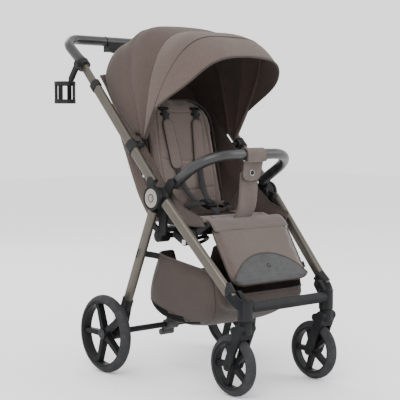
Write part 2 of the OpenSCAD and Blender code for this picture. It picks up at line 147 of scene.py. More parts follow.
def bands(nt, at, axis, period):
    w = nt.nodes.new("ShaderNodeTexWave")
    w.wave_type = "BANDS"
    w.bands_direction = axis
    w.inputs["Scale"].default_value = 0.314 / period
    w.inputs["Distortion"].default_value = 0.6
    w.inputs["Detail"].default_value = 1.0
    nt.links.new(at, w.inputs["Vector"])
    return w.outputs["Fac"]


def mottle(nt, at, scale, detail, low, high, rough=0.5):
    """Noise through a two-stop ramp. A stop is a position and a grey or a colour."""
    return ramp(nt, noise_of(nt, at, scale, detail, rough), [low, high])


def cell_walls(nt, at, scale, **inputs):
    """Distance to the nearest wall of a cell pattern."""
    v = node(nt, "ShaderNodeTexVoronoi", Scale=scale, **inputs)
    v.feature = "DISTANCE_TO_EDGE"
    nt.links.new(at, v.inputs["Vector"])
    return v.outputs["Distance"]


def fabric(name, dark, light, period=0.0016, depth=0.00035, sheen=0.25, rough=0.92, crease=0.0):
    """Woven melange cloth: two yarn colours, a plain weave in relief, soft sheen."""
    m, nt, b = new_mat(name, rough, 0.0, 0.25)
    at = object_coords(nt)
    flecks = mottle(nt, at, 620, 3.0, (0.36, dark), (0.64, light), 0.7)
    tone = mottle(nt, at, 7.0, 3.0, (0.3, 0.86), (0.7, 1.0))
    nt.links.new(mix(nt, 1.0, flecks, tone, "MULTIPLY"), b.inputs["Base Color"])
    weave = math_node(nt, "MULTIPLY", bands(nt, at, "X", period), bands(nt, at, "Z", period))
    weave = math_node(nt, "ADD", weave, math_node(nt, "MULTIPLY", bands(nt, at, "Y", period), 0.5))
    if crease:
        soft = math_node(nt, "MULTIPLY", noise_of(nt, at, 22, 3.0, 0.55), crease)
        weave = math_node(nt, "ADD", weave, soft)
    bump(nt, b, weave, depth, 0.8)
    b.inputs["Sheen Weight"].default_value = sheen
    b.inputs["Sheen Roughness"].default_value = 0.5
    return m


def leatherette(name, dark, light, rough=0.45, pebble=900):
    """Coated cloth with a fine pebble grain."""
    m, nt, b = new_mat(name, rough, 0.0, 0.5)
    at = object_coords(nt)
    walls = cell_walls(nt, at, pebble)
    nt.links.new(mottle(nt, at, 30, 4.0, (0.3, dark), (0.7, light)), b.inputs["Base Color"])
    dull = mottle(nt, at, 60, 3.0, (0.3, rough - 0.08), (0.7, rough + 0.12))
    nt.links.new(dull, b.inputs["Roughness"])
    grain = math_node(nt, "ADD", walls, math_node(nt, "MULTIPLY", noise_of(nt, at, 1400), 0.25))
    bump(nt, b, grain, 0.0004, 0.25)
    b.inputs["Coat Weight"].default_value = 0.12
    b.inputs["Coat Roughness"].default_value = 0.4
    return m


def plastic(name, dark, light, rough, worn=None):
    """Moulded plastic with a spark-eroded grain, slightly rubbed on its edges."""
    m, nt, b = new_mat(name, rough, 0.0, 0.07)
    at = object_coords(nt)
    body = mottle(nt, at, 25, 4.0, (0.3, dark), (0.7, light))
    if worn:
        pointed = nt.nodes.new("ShaderNodeNewGeometry").outputs["Pointiness"]
        body = mix(nt, ramp(nt, pointed, [(0.54, 0.0), (0.62, 0.6)]), body, worn)
    nt.links.new(body, b.inputs["Base Color"])
    dull = mottle(nt, at, 80, 3.0, (0.3, rough - 0.06), (0.7, rough + 0.1))
    nt.links.new(dull, b.inputs["Roughness"])
    bump(nt, b, noise_of(nt, at, 1300, 2.0), 0.00012, 0.6)
    return m


def metal(name, dark, light, rough=0.38, metallic=0.75):
    """Anodised or plated metal with a fine flake and faint handling marks."""
    m, nt, b = new_mat(name, rough, metallic, 0.5)
    at = object_coords(nt)
    flake = mottle(nt, at, 1800, 2.0, (0.35, dark), (0.65, light), 0.8)
    tone = mottle(nt, at, 16, 4.0, (0.3, 0.92), (0.7, 1.0))
    nt.links.new(mix(nt, 1.0, flake, tone, "MULTIPLY"), b.inputs["Base Color"])
    dull = mottle(nt, at, 90, 4.0, (0.3, rough - 0.05), (0.72, rough + 0.12), 0.7)
    nt.links.new(dull, b.inputs["Roughness"])
    bump(nt, b, noise_of(nt, at, 2400, 1.0), 0.00004, 0.5)
    return m


def rubber(name, base):
    """Foam tyre with dust on its high spots."""
    m, nt, b = new_mat(name, 0.8, 0.0, 0.18)
    at = object_coords(nt)
    dusty = mottle(nt, at, 40, 5.0, (0.35, base), (0.8, tuple(2.0 * c for c in base)), 0.65)
    nt.links.new(dusty, b.inputs["Base Color"])
    bump(nt, b, noise_of(nt, at, 700, 3.0), 0.0003, 0.6)
    return m


def mesh_cloth(name, thread, gap, cell=0.0026):
    """Air mesh: a honeycomb of threads over a dark ground."""
    m, nt, b = new_mat(name, 0.9, 0.0, 0.08)
    at = object_coords(nt)
    holes = ramp(nt, cell_walls(nt, at, 1 / cell, Randomness=0.25), [(0.08, 1.0), (0.22, 0.0)])
    nt.links.new(mix(nt, holes, gap, thread), b.inputs["Base Color"])
    bump(nt, b, holes, 0.0005, 0.7)
    return m


# the next two are one canopy cloth at two brightnesses: the darker copy is painted shade on the canopy's rear
# panels and the rear curtain, the lighter copy goes on the visor
TAUPE_PAINTED_SHADE = fabric("taupe_fabric", (0.046, 0.0315, 0.026), (0.090, 0.066, 0.057), sheen=0.06, crease=0.5)
VISOR_CLOTH = fabric("visor_fabric", (0.066, 0.047, 0.040), (0.128, 0.096, 0.084), sheen=0.08, crease=0.5)
TAUPE_PAD = fabric("taupe_pad", (0.090, 0.066, 0.058), (0.172, 0.133, 0.118), crease=0.6)
# the pad cloth darkened to about two thirds: painted shade on the leg rest, the seat's front skirt, the crotch
# strap and the bumper strap
LEG_CLOTH_PAINTED_SHADE = fabric("leg_rest_cloth_painted_shade", (0.058, 0.042, 0.037), (0.112, 0.086, 0.076), crease=0.6)
# the canopy cloth darkened to about two thirds: painted shade on the basket's sides, front and underside
BASKET_CLOTH_PAINTED_SHADE = fabric("basket_cloth", (0.030, 0.021, 0.018), (0.062, 0.046, 0.040), sheen=0.12, crease=0.7)
LINING = fabric("lining_fabric", (0.040, 0.026, 0.021), (0.076, 0.053, 0.045), sheen=0.08)
DARK_CLOTH = fabric("dark_cloth", (0.046, 0.032, 0.027), (0.092, 0.067, 0.058), sheen=0.15, crease=0.6)
PIPING = fabric("piping", (0.030, 0.022, 0.020), (0.060, 0.045, 0.040), 0.0009, 0.0002, 0.1)
WEBBING = fabric("webbing", (0.010, 0.010, 0.011), (0.026, 0.026, 0.028), 0.0013, 0.0005, 0.1, 0.8)
THREAD = fabric("thread", (0.030, 0.024, 0.022), (0.060, 0.048, 0.043), 0.0005, 0.0001, 0.2)
AIR_MESH = mesh_cloth("air_mesh", (0.008, 0.008, 0.009), (0.001, 0.001, 0.001))
SEAT_MESH = mesh_cloth("seat_mesh", (0.050, 0.044, 0.042), (0.005, 0.004, 0.004), 0.0055)
GRIP = leatherette("black_leatherette", (0.006, 0.006, 0.007), (0.014, 0.014, 0.015), 0.32)
SLATE = leatherette("slate_leatherette", (0.0155, 0.0158, 0.017), (0.025, 0.0255, 0.027), 0.6, 700)
TUBE = metal("champagne_tube", (0.080, 0.071, 0.058), (0.121, 0.109, 0.091))
SPRING = metal("spring_steel", (0.42, 0.42, 0.43), (0.62, 0.62, 0.63), 0.28, 0.95)
BADGE = metal("badge_plate", (0.24, 0.222, 0.195), (0.34, 0.315, 0.28), 0.42, 0.6)
BLACK = plastic("black_plastic", (0.007, 0.007, 0.008), (0.015, 0.015, 0.016), 0.40, (0.028, 0.028, 0.028))
WHEEL = plastic("wheel_plastic", (0.008, 0.0083, 0.009), (0.014, 0.0142, 0.015), 0.42, (0.024, 0.024, 0.025))
GREY = plastic("grey_plastic", (0.028, 0.0287, 0.031), (0.045, 0.0463, 0.049), 0.46, (0.08, 0.08, 0.08))
WHITE = plastic("white_button", (0.55, 0.55, 0.54), (0.68, 0.68, 0.66), 0.45)
TYRE = rubber("foam_tyre", (0.0210, 0.0210, 0.0225))

NODE_MATS = [
    ("front_tube", TUBE), ("push_tube", TUBE), ("inner_tube", TUBE), ("rear_leg", TUBE), ("spring", SPRING),
    ("front_tyre", TYRE), ("rear_tyre", TYRE), ("front_rim", WHEEL), ("rear_rim", WHEEL), ("caster", WHEEL),
    ("front_casting", WHEEL), ("brake", GREY), ("grip", GRIP), ("bumper_bar", GRIP), ("leg_patch", SLATE),
]
for n, o in frame["nodes"].items():
    found = [m for key, m in NODE_MATS if n.startswith(key)]
    o.data.materials.clear()
    o.data.materials.append(found[0] if found else BLACK)

# ---------------------------------------------------------------- mesh helpers


def link_object(name, me, material):
    for m in material if isinstance(material, list) else [material]:
        me.materials.append(m)
    o = bpy.data.objects.new(name, me)
    bpy.context.scene.collection.objects.link(o)
    return o


def shade_smooth(o):
    o.data.polygons.foreach_set("use_smooth", [True] * len(o.data.polygons))


def add_object(name, verts, faces, material):
    me = bpy.data.meshes.new(name)
    me.from_pydata([tuple(v) for v in verts], [], faces)
    me.update()
    o = link_object(name, me, material)
    shade_smooth(o)
    return o


def bake(o):
    """Applies every modifier."""
    bpy.context.view_layer.update()
    ev = o.evaluated_get(bpy.context.evaluated_depsgraph_get())
    me = bpy.data.meshes.new_from_object(ev)
    o.modifiers.clear()
    old = o.data
    o.data = me
    bpy.data.meshes.remove(old)
    return o


def subdivide(o):
    s = o.modifiers.new("sub", "SUBSURF")
    s.levels = s.render_levels = 1
    return bake(o)


def recalc(o):
    bm = bmesh.new()
    bm.from_mesh(o.data)
    bmesh.ops.remove_doubles(bm, verts=bm.verts, dist=1e-6)
    bmesh.ops.recalc_face_normals(bm, faces=bm.faces)
    bm.to_mesh(o.data)
    bm.free()
    return o


def grid(name, P, material, thick=0.0, loop_u=False, loop_v=False, offset=0.0, lining=False):
    """A quad sheet through the rows of points P, made into a closed sheet of the given thickness."""
    P = np.asarray(P, float)
    n, m = P.shape[:2]
    faces = []
    for i in range(n if loop_u else n - 1):
        for j in range(m if loop_v else m - 1):
            a, b = (i + 1) % n, (j + 1) % m
            faces.append((i * m + j, a * m + j, a * m + b, i * m + b))
    o = add_object(name, P.reshape(-1, 3), faces, material)
    if thick:
        s = o.modifiers.new("thick", "SOLIDIFY")
        s.thickness = thick
        s.offset = offset
        s.use_even_offset = False
        s.material_offset = s.material_offset_rim = int(lining)
        bake(o)
    return o


def loft(name, P, material, closed=False):
    """A skin round the rings of points P, capped at both ends unless the path is closed."""
    P = np.asarray(P, float)
    n, m = P.shape[:2]
    faces = []
    for i in range(n if closed else n - 1):
        for j in range(m):
            a, b = (i + 1) % n, (j + 1) % m
            faces.append((i * m + j, i * m + b, a * m + b, a * m + j))
    if not closed:
        faces += [tuple(range(m))[::-1], tuple((n - 1) * m + j for j in range(m))]
    return recalc(add_object(name, P.reshape(-1, 3), faces, material))


def power(v, e):
    """abs(v) to the power e, with the sign of v."""
    return math.copysign(abs(v) ** e, v)


def oval(m, half, depth, ex, ez):
    """m points of a rounded rectangle; the exponents say how square it is in each direction."""
    turns = [2 * math.pi * k / m for k in range(m)]
    return [(power(math.cos(g), ex) * half, power(math.sin(g), ez) * depth) for g in turns]


def soft_share(i, n):
    """Share i of n along a pad, closer together near its ends."""
    return (1 - math.cos(math.pi * (0.02 + 0.96 * i / (n - 1)))) / 2


def frames_along(pts, closed=False):
    """Tangents and a twist-free normal at each point of a path."""
    p = np.asarray(pts, float)
    if closed:
        t = np.roll(p, -1, 0) - np.roll(p, 1, 0)
    else:
        t = np.gradient(p, axis=0)
    t /= np.linalg.norm(t, axis=1)[:, None]
    ref = np.array([0, 0, 1.0]) if abs(t[0][2]) < 0.9 else np.array([1.0, 0, 0])
    nrm = [np.cross(np.cross(t[0], ref), t[0])]
    nrm[0] /= np.linalg.norm(nrm[0])
    for i in range(1, len(p)):
        v = nrm[-1] - t[i] * (nrm[-1] @ t[i])
        nrm.append(v / np.linalg.norm(v))
    return t, np.array(nrm)


def tube(name, pts, r, material, closed=False):
    p = np.asarray(pts, float)
    t, n = frames_along(p, closed)
    b = np.cross(t, n)
    ang = np.linspace(0, 2 * math.pi, 8, endpoint=False)
    around = np.cos(ang)[None, :, None] * n[:, None] + np.sin(ang)[None, :, None] * b[:, None]
    return loft(name, p[:, None] + r * around, material, closed)


def strap(name, pts, side, width, thick=0.0022):
    """Flat webbing along a path. side is its width direction."""
    p = np.asarray(pts, float)
    t, _ = frames_along(p)
    s = np.broadcast_to(np.asarray(side, float), p.shape)
    s = s - t * np.sum(s * t, 1)[:, None]
    s = s / np.linalg.norm(s, axis=1)[:, None]
    n = np.cross(t, s)
    h, q = width / 2, thick / 2
    c = q * 0.7
    lower = [(-h, -c), (-h + q - c, -q), (h - q + c, -q), (h, -c)]
    prof = lower + [(-a, -b) for a, b in lower]
    return loft(name, np.stack([p + a * s + b * n for a, b in prof], 1), WEBBING)


def resample(pts, n):
    """n points at even spacing along a path."""
    p = np.asarray(pts, float)
    d = np.r_[0, np.cumsum(np.linalg.norm(np.diff(p, axis=0), axis=1))]
    at = np.linspace(0, d[-1], n)
    return np.stack([np.interp(at, d, p[:, k]) for k in range(p.shape[1])], 1)


def smooth_path(pts, n, rounds=3):
    """Corner cutting, then even spacing."""
    p = np.asarray(pts, float)
    for _ in range(rounds):
        q = [p[0]]
        for a, b in zip(p[:-1], p[1:]):
            q += [0.75 * a + 0.25 * b, 0.25 * a + 0.75 * b]
        q.append(p[-1])
        p = np.array(q)
    return resample(p, n)


STITCH, STITCH_GAP, THREAD_R, THREAD_SIDES = 0.0042, 0.0028, 0.00065, 5


def stitches(name, pts):
    """A row of small threads along a path."""
    p = np.asarray(pts, float)
    total = np.linalg.norm(np.diff(p, axis=0), axis=1).sum()
    pitch = STITCH + STITCH_GAP
    k, m = max(2, int(total / pitch)), THREAD_SIDES
    q = resample(p, k * 2 + 1)
    verts, faces = [], []
    for i in range(k):
        a, b = q[2 * i], q[2 * i] + (q[2 * i + 1] - q[2 * i]) * (2 * STITCH / pitch) * 0.9
        d = b - a
        if np.linalg.norm(d) < 1e-6:
            continue
        d = d / np.linalg.norm(d)
        u = np.cross(d, [0.31, 0.52, 0.8])
        u /= np.linalg.norm(u)
        v = np.cross(d, u)
        base = len(verts)
        for end, r in ((a, THREAD_R * 0.6), ((a + b) / 2, THREAD_R), (b, THREAD_R * 0.6)):
            turns = [2 * math.pi * w / m for w in range(m)]
            verts += [end + r * (math.cos(g) * u + math.sin(g) * v) for g in turns]
        for x in (base, base + m):
            faces += [(x + w, x + (w + 1) % m, x + m + (w + 1) % m, x + m + w) for w in range(m)]
        faces.append(tuple(base + w for w in range(m))[::-1])
        faces.append(tuple(base + 2 * m + w for w in range(m)))
    return recalc(add_object(name, verts, faces, THREAD))


def disc(name, centre, axis, r, depth, material, ring=None, sides=48):
    """Turned part with softened edges. ring is the inner radius if it is open."""
    c, a = Vector(centre), Vector(axis).normalized()
    e = min(0.0012, depth * 0.3)
    outer = [(r - e, depth), (r, depth - e), (r, 0)]
    if ring:
        prof = [(ring, 0), (ring, depth - e), (ring + e, depth)] + outer
    else:
        prof = [(0.0005, 0), (0.0005, depth), (r * 0.7, depth)] + outer
    q = a.to_track_quat("Z", "Y")
    P = [[tuple(c + q @ Vector((rr * math.cos(t), rr * math.sin(t), h))) for rr, h in prof]
         for t in np.linspace(0, 2 * math.pi, sides, endpoint=False)]
    return recalc(grid(name, P, material, loop_u=True, loop_v=True))


def trim(o, body):
    """A piece that rides on one body."""
    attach(o, body)


def cushion_piece(o, stands_for, body):
    """A padded piece that stands for one node and rides on one body."""
    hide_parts(stands_for)
    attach(o, body)


def piping(name, pts, r, body):
    trim(tube(name, pts, r, PIPING), body)


def webbing(name, pts, side, width, body, thick=0.0022):
    trim(strap(name, pts, side, width, thick), body)


def puff(o, cap, pinned=None):
    """Cloth simulation of a padded piece: it swells, its skin creases, and no point moves more than cap."""
    r = o.modifiers.new("remesh", "REMESH")
    r.mode = "VOXEL"
    r.voxel_size = 0.0055
    bake(o)
    shade_smooth(o)
    start = np.array([v.co for v in o.data.vertices], float)
    c = o.modifiers.new("cloth", "CLOTH")
    s = c.settings
    s.quality = 4
    s.mass = 0.3
    s.tension_stiffness = s.compression_stiffness = 12
    s.shear_stiffness = 6
    s.bending_stiffness = 0.4
    s.use_pressure = True
    s.uniform_pressure_force = 4.0
    s.effector_weights.gravity = 0
    c.collision_settings.use_collision = False
    c.collision_settings.use_self_collision = False
    c.point_cache.frame_start, c.point_cache.frame_end = 1, 20
    for f in range(1, 21):
        bpy.context.scene.frame_set(f)
    bake(o)
    bpy.context.scene.frame_set(1)
    end = np.array([v.co for v in o.data.vertices], float)
    d = end - start
    size = np.linalg.norm(d, axis=1)
    d *= np.minimum(1.0, cap / np.maximum(size, 1e-9))[:, None]
    if pinned is not None:
        d *= pinned(start)[:, None]
    o.data.vertices.foreach_set("co", (start + d).ravel())
    subdivide(o)
    shade_smooth(o)
    return o


def sculpt(o, move):
    """Moves every vertex by move(points, normals), both as arrays."""
    me = o.data
    co = np.array([v.co for v in me.vertices], float)
    nr = np.array([v.normal for v in me.vertices], float)
    me.vertices.foreach_set("co", (co + move(co, nr)).ravel())
    me.update()
    return o


def rounded_box(name, half, r, material, to_world, taper=None):
    """A box with the given half sizes and rounded edges, mapped point by point by to_world."""
    bm = bmesh.new()
    bmesh.ops.create_cube(bm, size=1)
    for v in bm.verts:
        v.co = Vector([2 * h * c for h, c in zip(half, v.co)])
    bmesh.ops.bevel(bm, geom=bm.edges[:], offset=r, segments=6, profile=0.5, affect="EDGES")
    for v in bm.verts:
        v.co = Vector(to_world(Vector(taper(v.co)) if taper else v.co))
    bmesh.ops.recalc_face_normals(bm, faces=bm.faces)
    me = bpy.data.meshes.new(name)
    bm.to_mesh(me)
    bm.free()
    return link_object(name, me, material)


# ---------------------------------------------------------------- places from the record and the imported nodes

JOINT = {j["name"]: j for j in frame["joints"]}
HUB = Vector(JOINT["frame_fold"]["pos_m"])
CANOPY_AT = Vector(JOINT["canopy_fold"]["pos_m"])
BACK_AT = Vector(JOINT["recline"]["pos_m"])
LEG_AT = Vector(JOINT["leg_rest_tilt"]["pos_m"])
SLIDE = Vector(JOINT["handle_slide"]["axis"])
SEAT_LO, SEAT_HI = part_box("seat_cushion")
RISE = math.atan2(SLIDE.z, SLIDE.y)
BACK_TILT, LEG_TILT = math.radians(77), math.radians(58)
BACK_LEN = (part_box("backrest")[1].z - BACK_AT.z) / math.sin(BACK_TILT) - 0.004
BACK_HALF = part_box("backrest")[1].x
LEG_LEN = 0.226
LEG_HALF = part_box("leg_rest")[1].x - 0.003
SIDES = ((-1, "r"), (1, "l"))


def on_back(p):
    """Backrest: x across, y up along it from the hinge, z out of its front face."""
    x, y, z = p
    c, s = math.cos(BACK_TILT), math.sin(BACK_TILT)
    return Vector((x, BACK_AT.y + y * c - z * s, BACK_AT.z + y * s + z * c))


def on_leg(p):
    """Leg rest: x across, y down along it from the hinge, z out of its front face."""
    x, y, z = p
    c, s = math.cos(LEG_TILT), math.sin(LEG_TILT)
    return Vector((-x, LEG_AT.y - y * c - z * s, LEG_AT.z - y * s + z * c))


def outer_face(node_name, s):
    """x of the outermost face of a node on side s."""
    lo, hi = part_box(node_name)
    return lo.x if s < 0 else hi.x


def as_array(vs):
    return np.array([tuple(v) for v in vs], float)


def bridge(a, c, b, levels, xs):
    """Rows from line a to line b, drawn towards line c between them. Each line is a function of x."""
    return np.array([[(1 - v) ** 2 * a(x) + 2 * v * (1 - v) * c(x) + v * v * b(x) for x in xs]
                     for v in np.linspace(0, 1, levels)])


# ---------------------------------------------------------------- canopy

CANOPY_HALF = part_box("canopy_visor")[1].x - 0.003
# the middle line: degrees about the pivot, and height above it in mm
CROWN = [(43, 370), (49, 384), (56, 394), (62, 396), (67.5, 389), (70, 395), (75, 403), (82, 401), (90, 391),
         (97, 381), (101, 376), (105, 383), (112, 394), (121, 402), (130, 405), (136, 406)]
SEAMS = (43, 76, 101, 136)
BOW = 120
VISOR_END = 142
TIP = 10
CLOTH = 0.0018
SAG_SEED = Vector((3.1, 0.4, 7.7))


def crown(a):
    """Height of the canopy's middle line above its pivot, with a dip at each bow."""
    xs, ys = zip(*CROWN)
    before, at, after = np.interp([a - 1.2, a, a + 1.2], xs, ys)
    return 0.5 * (at + 0.5 * (before + after)) / 1000


def canopy_arch(a, n=73, inset=0.0):
    """Points across the canopy at angle a about its pivot, evenly spaced from side to side."""
    k = 5.2 if a < 60 else 5.2 - 1.3 * min(1.0, (a - 60) / 30)
    full = 0
    for s0, s1 in zip(SEAMS[:-1], SEAMS[1:]):
        if s0 <= a <= s1:
            t = (a - s0) / (s1 - s0)
            full = 4 * t * (1 - t)
    half = CANOPY_HALF - 0.007 + 0.007 * full - inset
    top = crown(a) - inset
    f = np.linspace(0.0, math.pi, 721)
    x = np.sign(np.cos(f)) * half * np.abs(np.cos(f)) ** (2 / k)
    r = np.maximum(top * np.abs(np.sin(f)) ** (2 / k), 0.0)
    keep = r > 0.017
    p = resample(np.stack([x[keep], r[keep]], 1), n)
    # the sides lean in a little towards the pivot
    p[:, 0] *= 1 - 0.035 * np.clip(1 - p[:, 1] / 0.22, 0, 1)
    g = math.radians(a)
    return np.stack([p[:, 0], CANOPY_AT.y + p[:, 1] * math.cos(g), CANOPY_AT.z + p[:, 1] * math.sin(g)], 1)


def canopy_panel(a0, a1, steps):
    """Panel between two angles: it puckers at the seams and sags a little between them."""
    angles = np.linspace(a0, a1, steps)
    P = np.array([canopy_arch(a) for a in angles])
    centre = np.array([0, CANOPY_AT.y, CANOPY_AT.z - 0.02])
    for row, a in zip(P, angles):
        near = min(abs(a - s) for s in (SEAMS[0], SEAMS[1], BOW, SEAMS[3]))
        for v in row:
            d = (v - centre) / np.linalg.norm(v - centre)
            q = Vector(v)
            folds = noise.noise(Vector((q.x * 30, q.y * 9, q.z * 9)))
            pucker = 0.0022 * folds * math.exp(-((near / 5.0) ** 2))
            sag = 0.0028 * noise.noise(q * 8 + SAG_SEED)
            v += d * (pucker + (sag if near > 0.4 else 0))
    return P


def crescent(v, n=97, tip=0):
    """Line across the front at share v of the way from the third seam to the free edge.

    The free edge follows the front bow up each side, then swings forward as a visor.
    """
    start, steps = SEAMS[2], 20
    reach = [canopy_arch(a, n) for a in np.linspace(start, VISOR_END, steps + 1)]
    out = []
    for j in range(tip, n - tip):
        h = (min(j, n - 1 - j) / ((n - 1) / 2) * 48 - TIP) / (48 - TIP)
        w = math.sin(math.pi / 2 * min(1, max(0, h) * 2.0)) ** 0.8 * (1 + 0.25 * (1 - max(0, h)))
        a = start + (BOW + (SEAMS[3] - BOW) * w - start) * v
        k = min(steps - 0.001, max(0.0, (a - start) / (VISOR_END - start) * steps))
        i = int(k)
        out.append(reach[i][j] * (1 - (k - i)) + reach[i + 1][j] * (k - i))
    return np.array(out)


def fold_back(o):
    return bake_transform(o)


def fold_visor(o):
    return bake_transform(o)


def outward(path, by):
    c = np.array([0, CANOPY_AT.y, CANOPY_AT.z])
    d = np.asarray(path) - c
    d[:, 0] *= 0.6
    return np.asarray(path) + by * d / np.linalg.norm(d, axis=1)[:, None]


rear_P = canopy_panel(SEAMS[0], SEAMS[2], 64)
# outer cloth in the darker canopy copy, which is painted shade
rear_panel = grid("canopy_back_panels", rear_P, [LINING, TAUPE_PAINTED_SHADE], CLOTH, offset=-1, lining=True)
visor_P = np.array([crescent(v) for v in np.linspace(0, 1, 44)])
for v in visor_P[1:].reshape(-1, 3):
    d = v - np.array(CANOPY_AT)
    v += 0.0024 * noise.noise(Vector(v) * 8 + SAG_SEED) * d / np.linalg.norm(d)
visor_panel = grid("canopy_visor_panel", visor_P, [LINING, VISOR_CLOTH], CLOTH, offset=-1, lining=True)
for a, r in ((SEAMS[0], 0.0022), (SEAMS[1], 0.0019)):
    o = tube(f"canopy_piping_{a}", outward(canopy_arch(a, 121), 0.0004), r, PIPING)
    fold_back(o)
seam = tube("canopy_piping_120", outward(canopy_arch(BOW, 121), 0.0010), 0.0025, PIPING)
fold_visor(seam)
piping("canopy_rim_binding", crescent(1.0), 0.0032, "canopy_visor")
# bows under the lining, in their fabric sleeves
for a, fold in ((SEAMS[1], fold_back), (BOW, fold_visor)):
    fold(tube(f"canopy_bow_{a}", canopy_arch(a, 97, 0.0065), 0.0048, LINING))
for a in (SEAMS[1] + 1.6, SEAMS[1] - 1.6):
    row = outward(canopy_arch(a, 121), 0.0006)
    fold_back(stitches(f"canopy_stitch_{int(a * 10)}", row))
for name, row in (("visor", crescent(0.97, tip=TIP + 6)), ("bow", canopy_arch(BOW - 1.7, 121))):
    fold_visor(stitches("canopy_stitch_" + name, outward(row, 0.0006)))
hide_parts("canopy_rear", "canopy_main")
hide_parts("canopy_visor")
fold_back(rear_panel)
fold_visor(visor_panel)

# ---------------------------------------------------------------- rear curtain, from tube to tube

# side view, y and z: where the curtain meets the push tubes, and its line behind the backrest
CURTAIN_FRONT = [(-0.104, 0.535), (-0.096, 0.585), (-0.038, 0.672), (0.050, 0.764), (0.146, 0.858),
                 (0.230, 0.940), (0.284, 0.986)]
CURTAIN_BACK = [(0.046, 0.520), (0.088, 0.562), (0.130, 0.622), (0.172, 0.695), (0.210, 0.772),
                (0.244, 0.848), (0.276, 0.925), (0.300, 0.998)]
LEVELS, ACROSS = 40, 97
MIDDLE = ACROSS // 2
front_line = smooth_path([(0, *p) for p in CURTAIN_FRONT], LEVELS)[:, 1:]
back_line = smooth_path([(0, *p) for p in CURTAIN_BACK], LEVELS)[:, 1:]


def curtain_row(level):
    """One level of the curtain, from the left tube round the back to the right tube."""
    f, b = front_line[level], back_line[level]
    t = level / (LEVELS - 1)
    half = 0.199 - 0.004 * math.sin(math.pi * t)
    rad = 0.045 + 0.02 * t
    depth = np.linalg.norm(b - f)
    if depth < rad * 1.4:
        run = [(half, 0.0)]
        turns = np.linspace(0.02, math.pi / 2, 14)
        arc = [(half * math.cos(g) ** 0.45, depth * math.sin(g) ** 0.7) for g in turns]
    else:
        run = [(half, 0.0), (half, max(depth - rad, depth * 0.3))]
        turns = np.linspace(0, math.pi / 2, 12)
        arc = [(half - rad + rad * math.cos(g), depth - rad + rad * math.sin(g)) for g in turns]
    left = resample(np.array(run + arc + [(0.0, depth + 0.004)]), MIDDLE + 1)
    whole = np.vstack([left, left[-2::-1] * [-1, 1]])
    u = (b - f) / max(depth, 1e-6)
    return np.stack([whole[:, 0], f[0] + whole[:, 1] * u[0], f[1] + whole[:, 1] * u[1]], 1)


curtain_P = np.array([curtain_row(level) for level in range(LEVELS)])
last_i, last_j = LEVELS - 1, ACROSS - 1
for i, row in enumerate(curtain_P[1:-1], 1):
    for j, v in enumerate(row[1:-1], 1):
        q = Vector(v)
        behind = abs(j - MIDDLE) < 34
        fall = noise.noise(Vector((q.x * 14, 0.7, q.z * 5))) * 0.006 + noise.noise(q * 17) * 0.003
        edge = min(1, i / 5, (last_i - i) / 4, j / 7, (last_j - j) / 7)
        v[1] += fall * edge if behind else fall * 0.3 * edge
        v[0] -= 0 if behind else math.copysign(abs(fall) * 0.5 * edge, v[0])
# outer cloth in the darker canopy copy, which is painted shade
curtain = grid("rear_curtain", curtain_P, [TAUPE_PAINTED_SHADE, LINING], 0.0016)


def follow_recline(o):
    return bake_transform(o)


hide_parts("seat_side_r", "seat_side_l")
follow_recline(curtain)


def on_curtain(x, i):
    """Point of the curtain's back at level i and distance x from the middle."""
    lo = int(math.floor(i))
    out = []
    for k in (lo, min(lo + 1, last_i)):
        row = curtain_P[k][MIDDLE - 24:MIDDLE + 25]
        order = np.argsort(row[:, 0])
        out.append(np.array([x] + [np.interp(x, row[order, 0], row[order, c]) for c in (1, 2)]))
    return out[0] * (1 - (i - lo)) + out[1] * (i - lo)


def window_half(t):
    """Half width of the window at share t of its height, from the bottom."""
    return 0.092 * (1.0 if t < 0.5 else math.sqrt(max(0.0, 1 - ((t - 0.5) / 0.5) ** 2)))


def frame_of(P):
    """The outline of a grid of points: its first row, then up one side and down the other."""
    return [P[0][k] for k in range(len(P[0]))] + [r[-1] for r in P[1:]] + [r[0] for r in P[::-1]]


# arched window of air mesh with its border
WINDOW_LOW, WINDOW_HIGH = 11.0, 27.0
rows = []
for t in np.linspace(0, 0.995, 22):
    w = window_half(t)
    level = WINDOW_LOW + (WINDOW_HIGH - WINDOW_LOW) * t
    rows.append([on_curtain(x, level) + np.array([0, 0.0022, 0.0004]) for x in np.linspace(-w, w, 19)])
window_P = np.array(rows)
window = grid("curtain_window", window_P, AIR_MESH, 0.0012, offset=1)
follow_recline(window)
border = tube("curtain_window_border", resample(as_array(frame_of(window_P)), 150), 0.0024, PIPING)
hem = tube("curtain_hem", curtain_P[0], 0.0026, PIPING)
for o in (border, hem):
    follow_recline(o)
# seams down the curtain: columns in from its edge, levels left free at each end, and shift off the cloth
for name, inset, free, shift in (("inner_seam", 4, 1, (0.0016, -0.0006)), ("seam", 12, 2, (-0.0012, 0.0012))):
    for s, tag in ((-1, "l"), (1, "r")):
        column = inset if s < 0 else last_j - inset
        line = curtain_P[free:-free, column] + np.array([s * shift[0], shift[1], 0])
        follow_recline(tube(f"curtain_{name}_{tag}", line, 0.0016, PIPING))

# ---------------------------------------------------------------- back shell, backrest pad and its harness

BACK_FOOT = 0.020
BOLSTER_X = 0.104
BACK_UP = np.array([0, math.cos(BACK_TILT), math.sin(BACK_TILT)])
BACK_FRONT = np.array([0, -math.sin(BACK_TILT), math.cos(BACK_TILT)])
WEB_WIDTH = 0.024


def back_outline(t, half):
    """Half width of the backrest at share t of its height: square below, rounded above."""
    return half * (1.0 if t < 0.72 else (1 - ((t - 0.72) / 0.285) ** 2.6) ** (1 / 2.6) if t < 1.0 else 0.0)


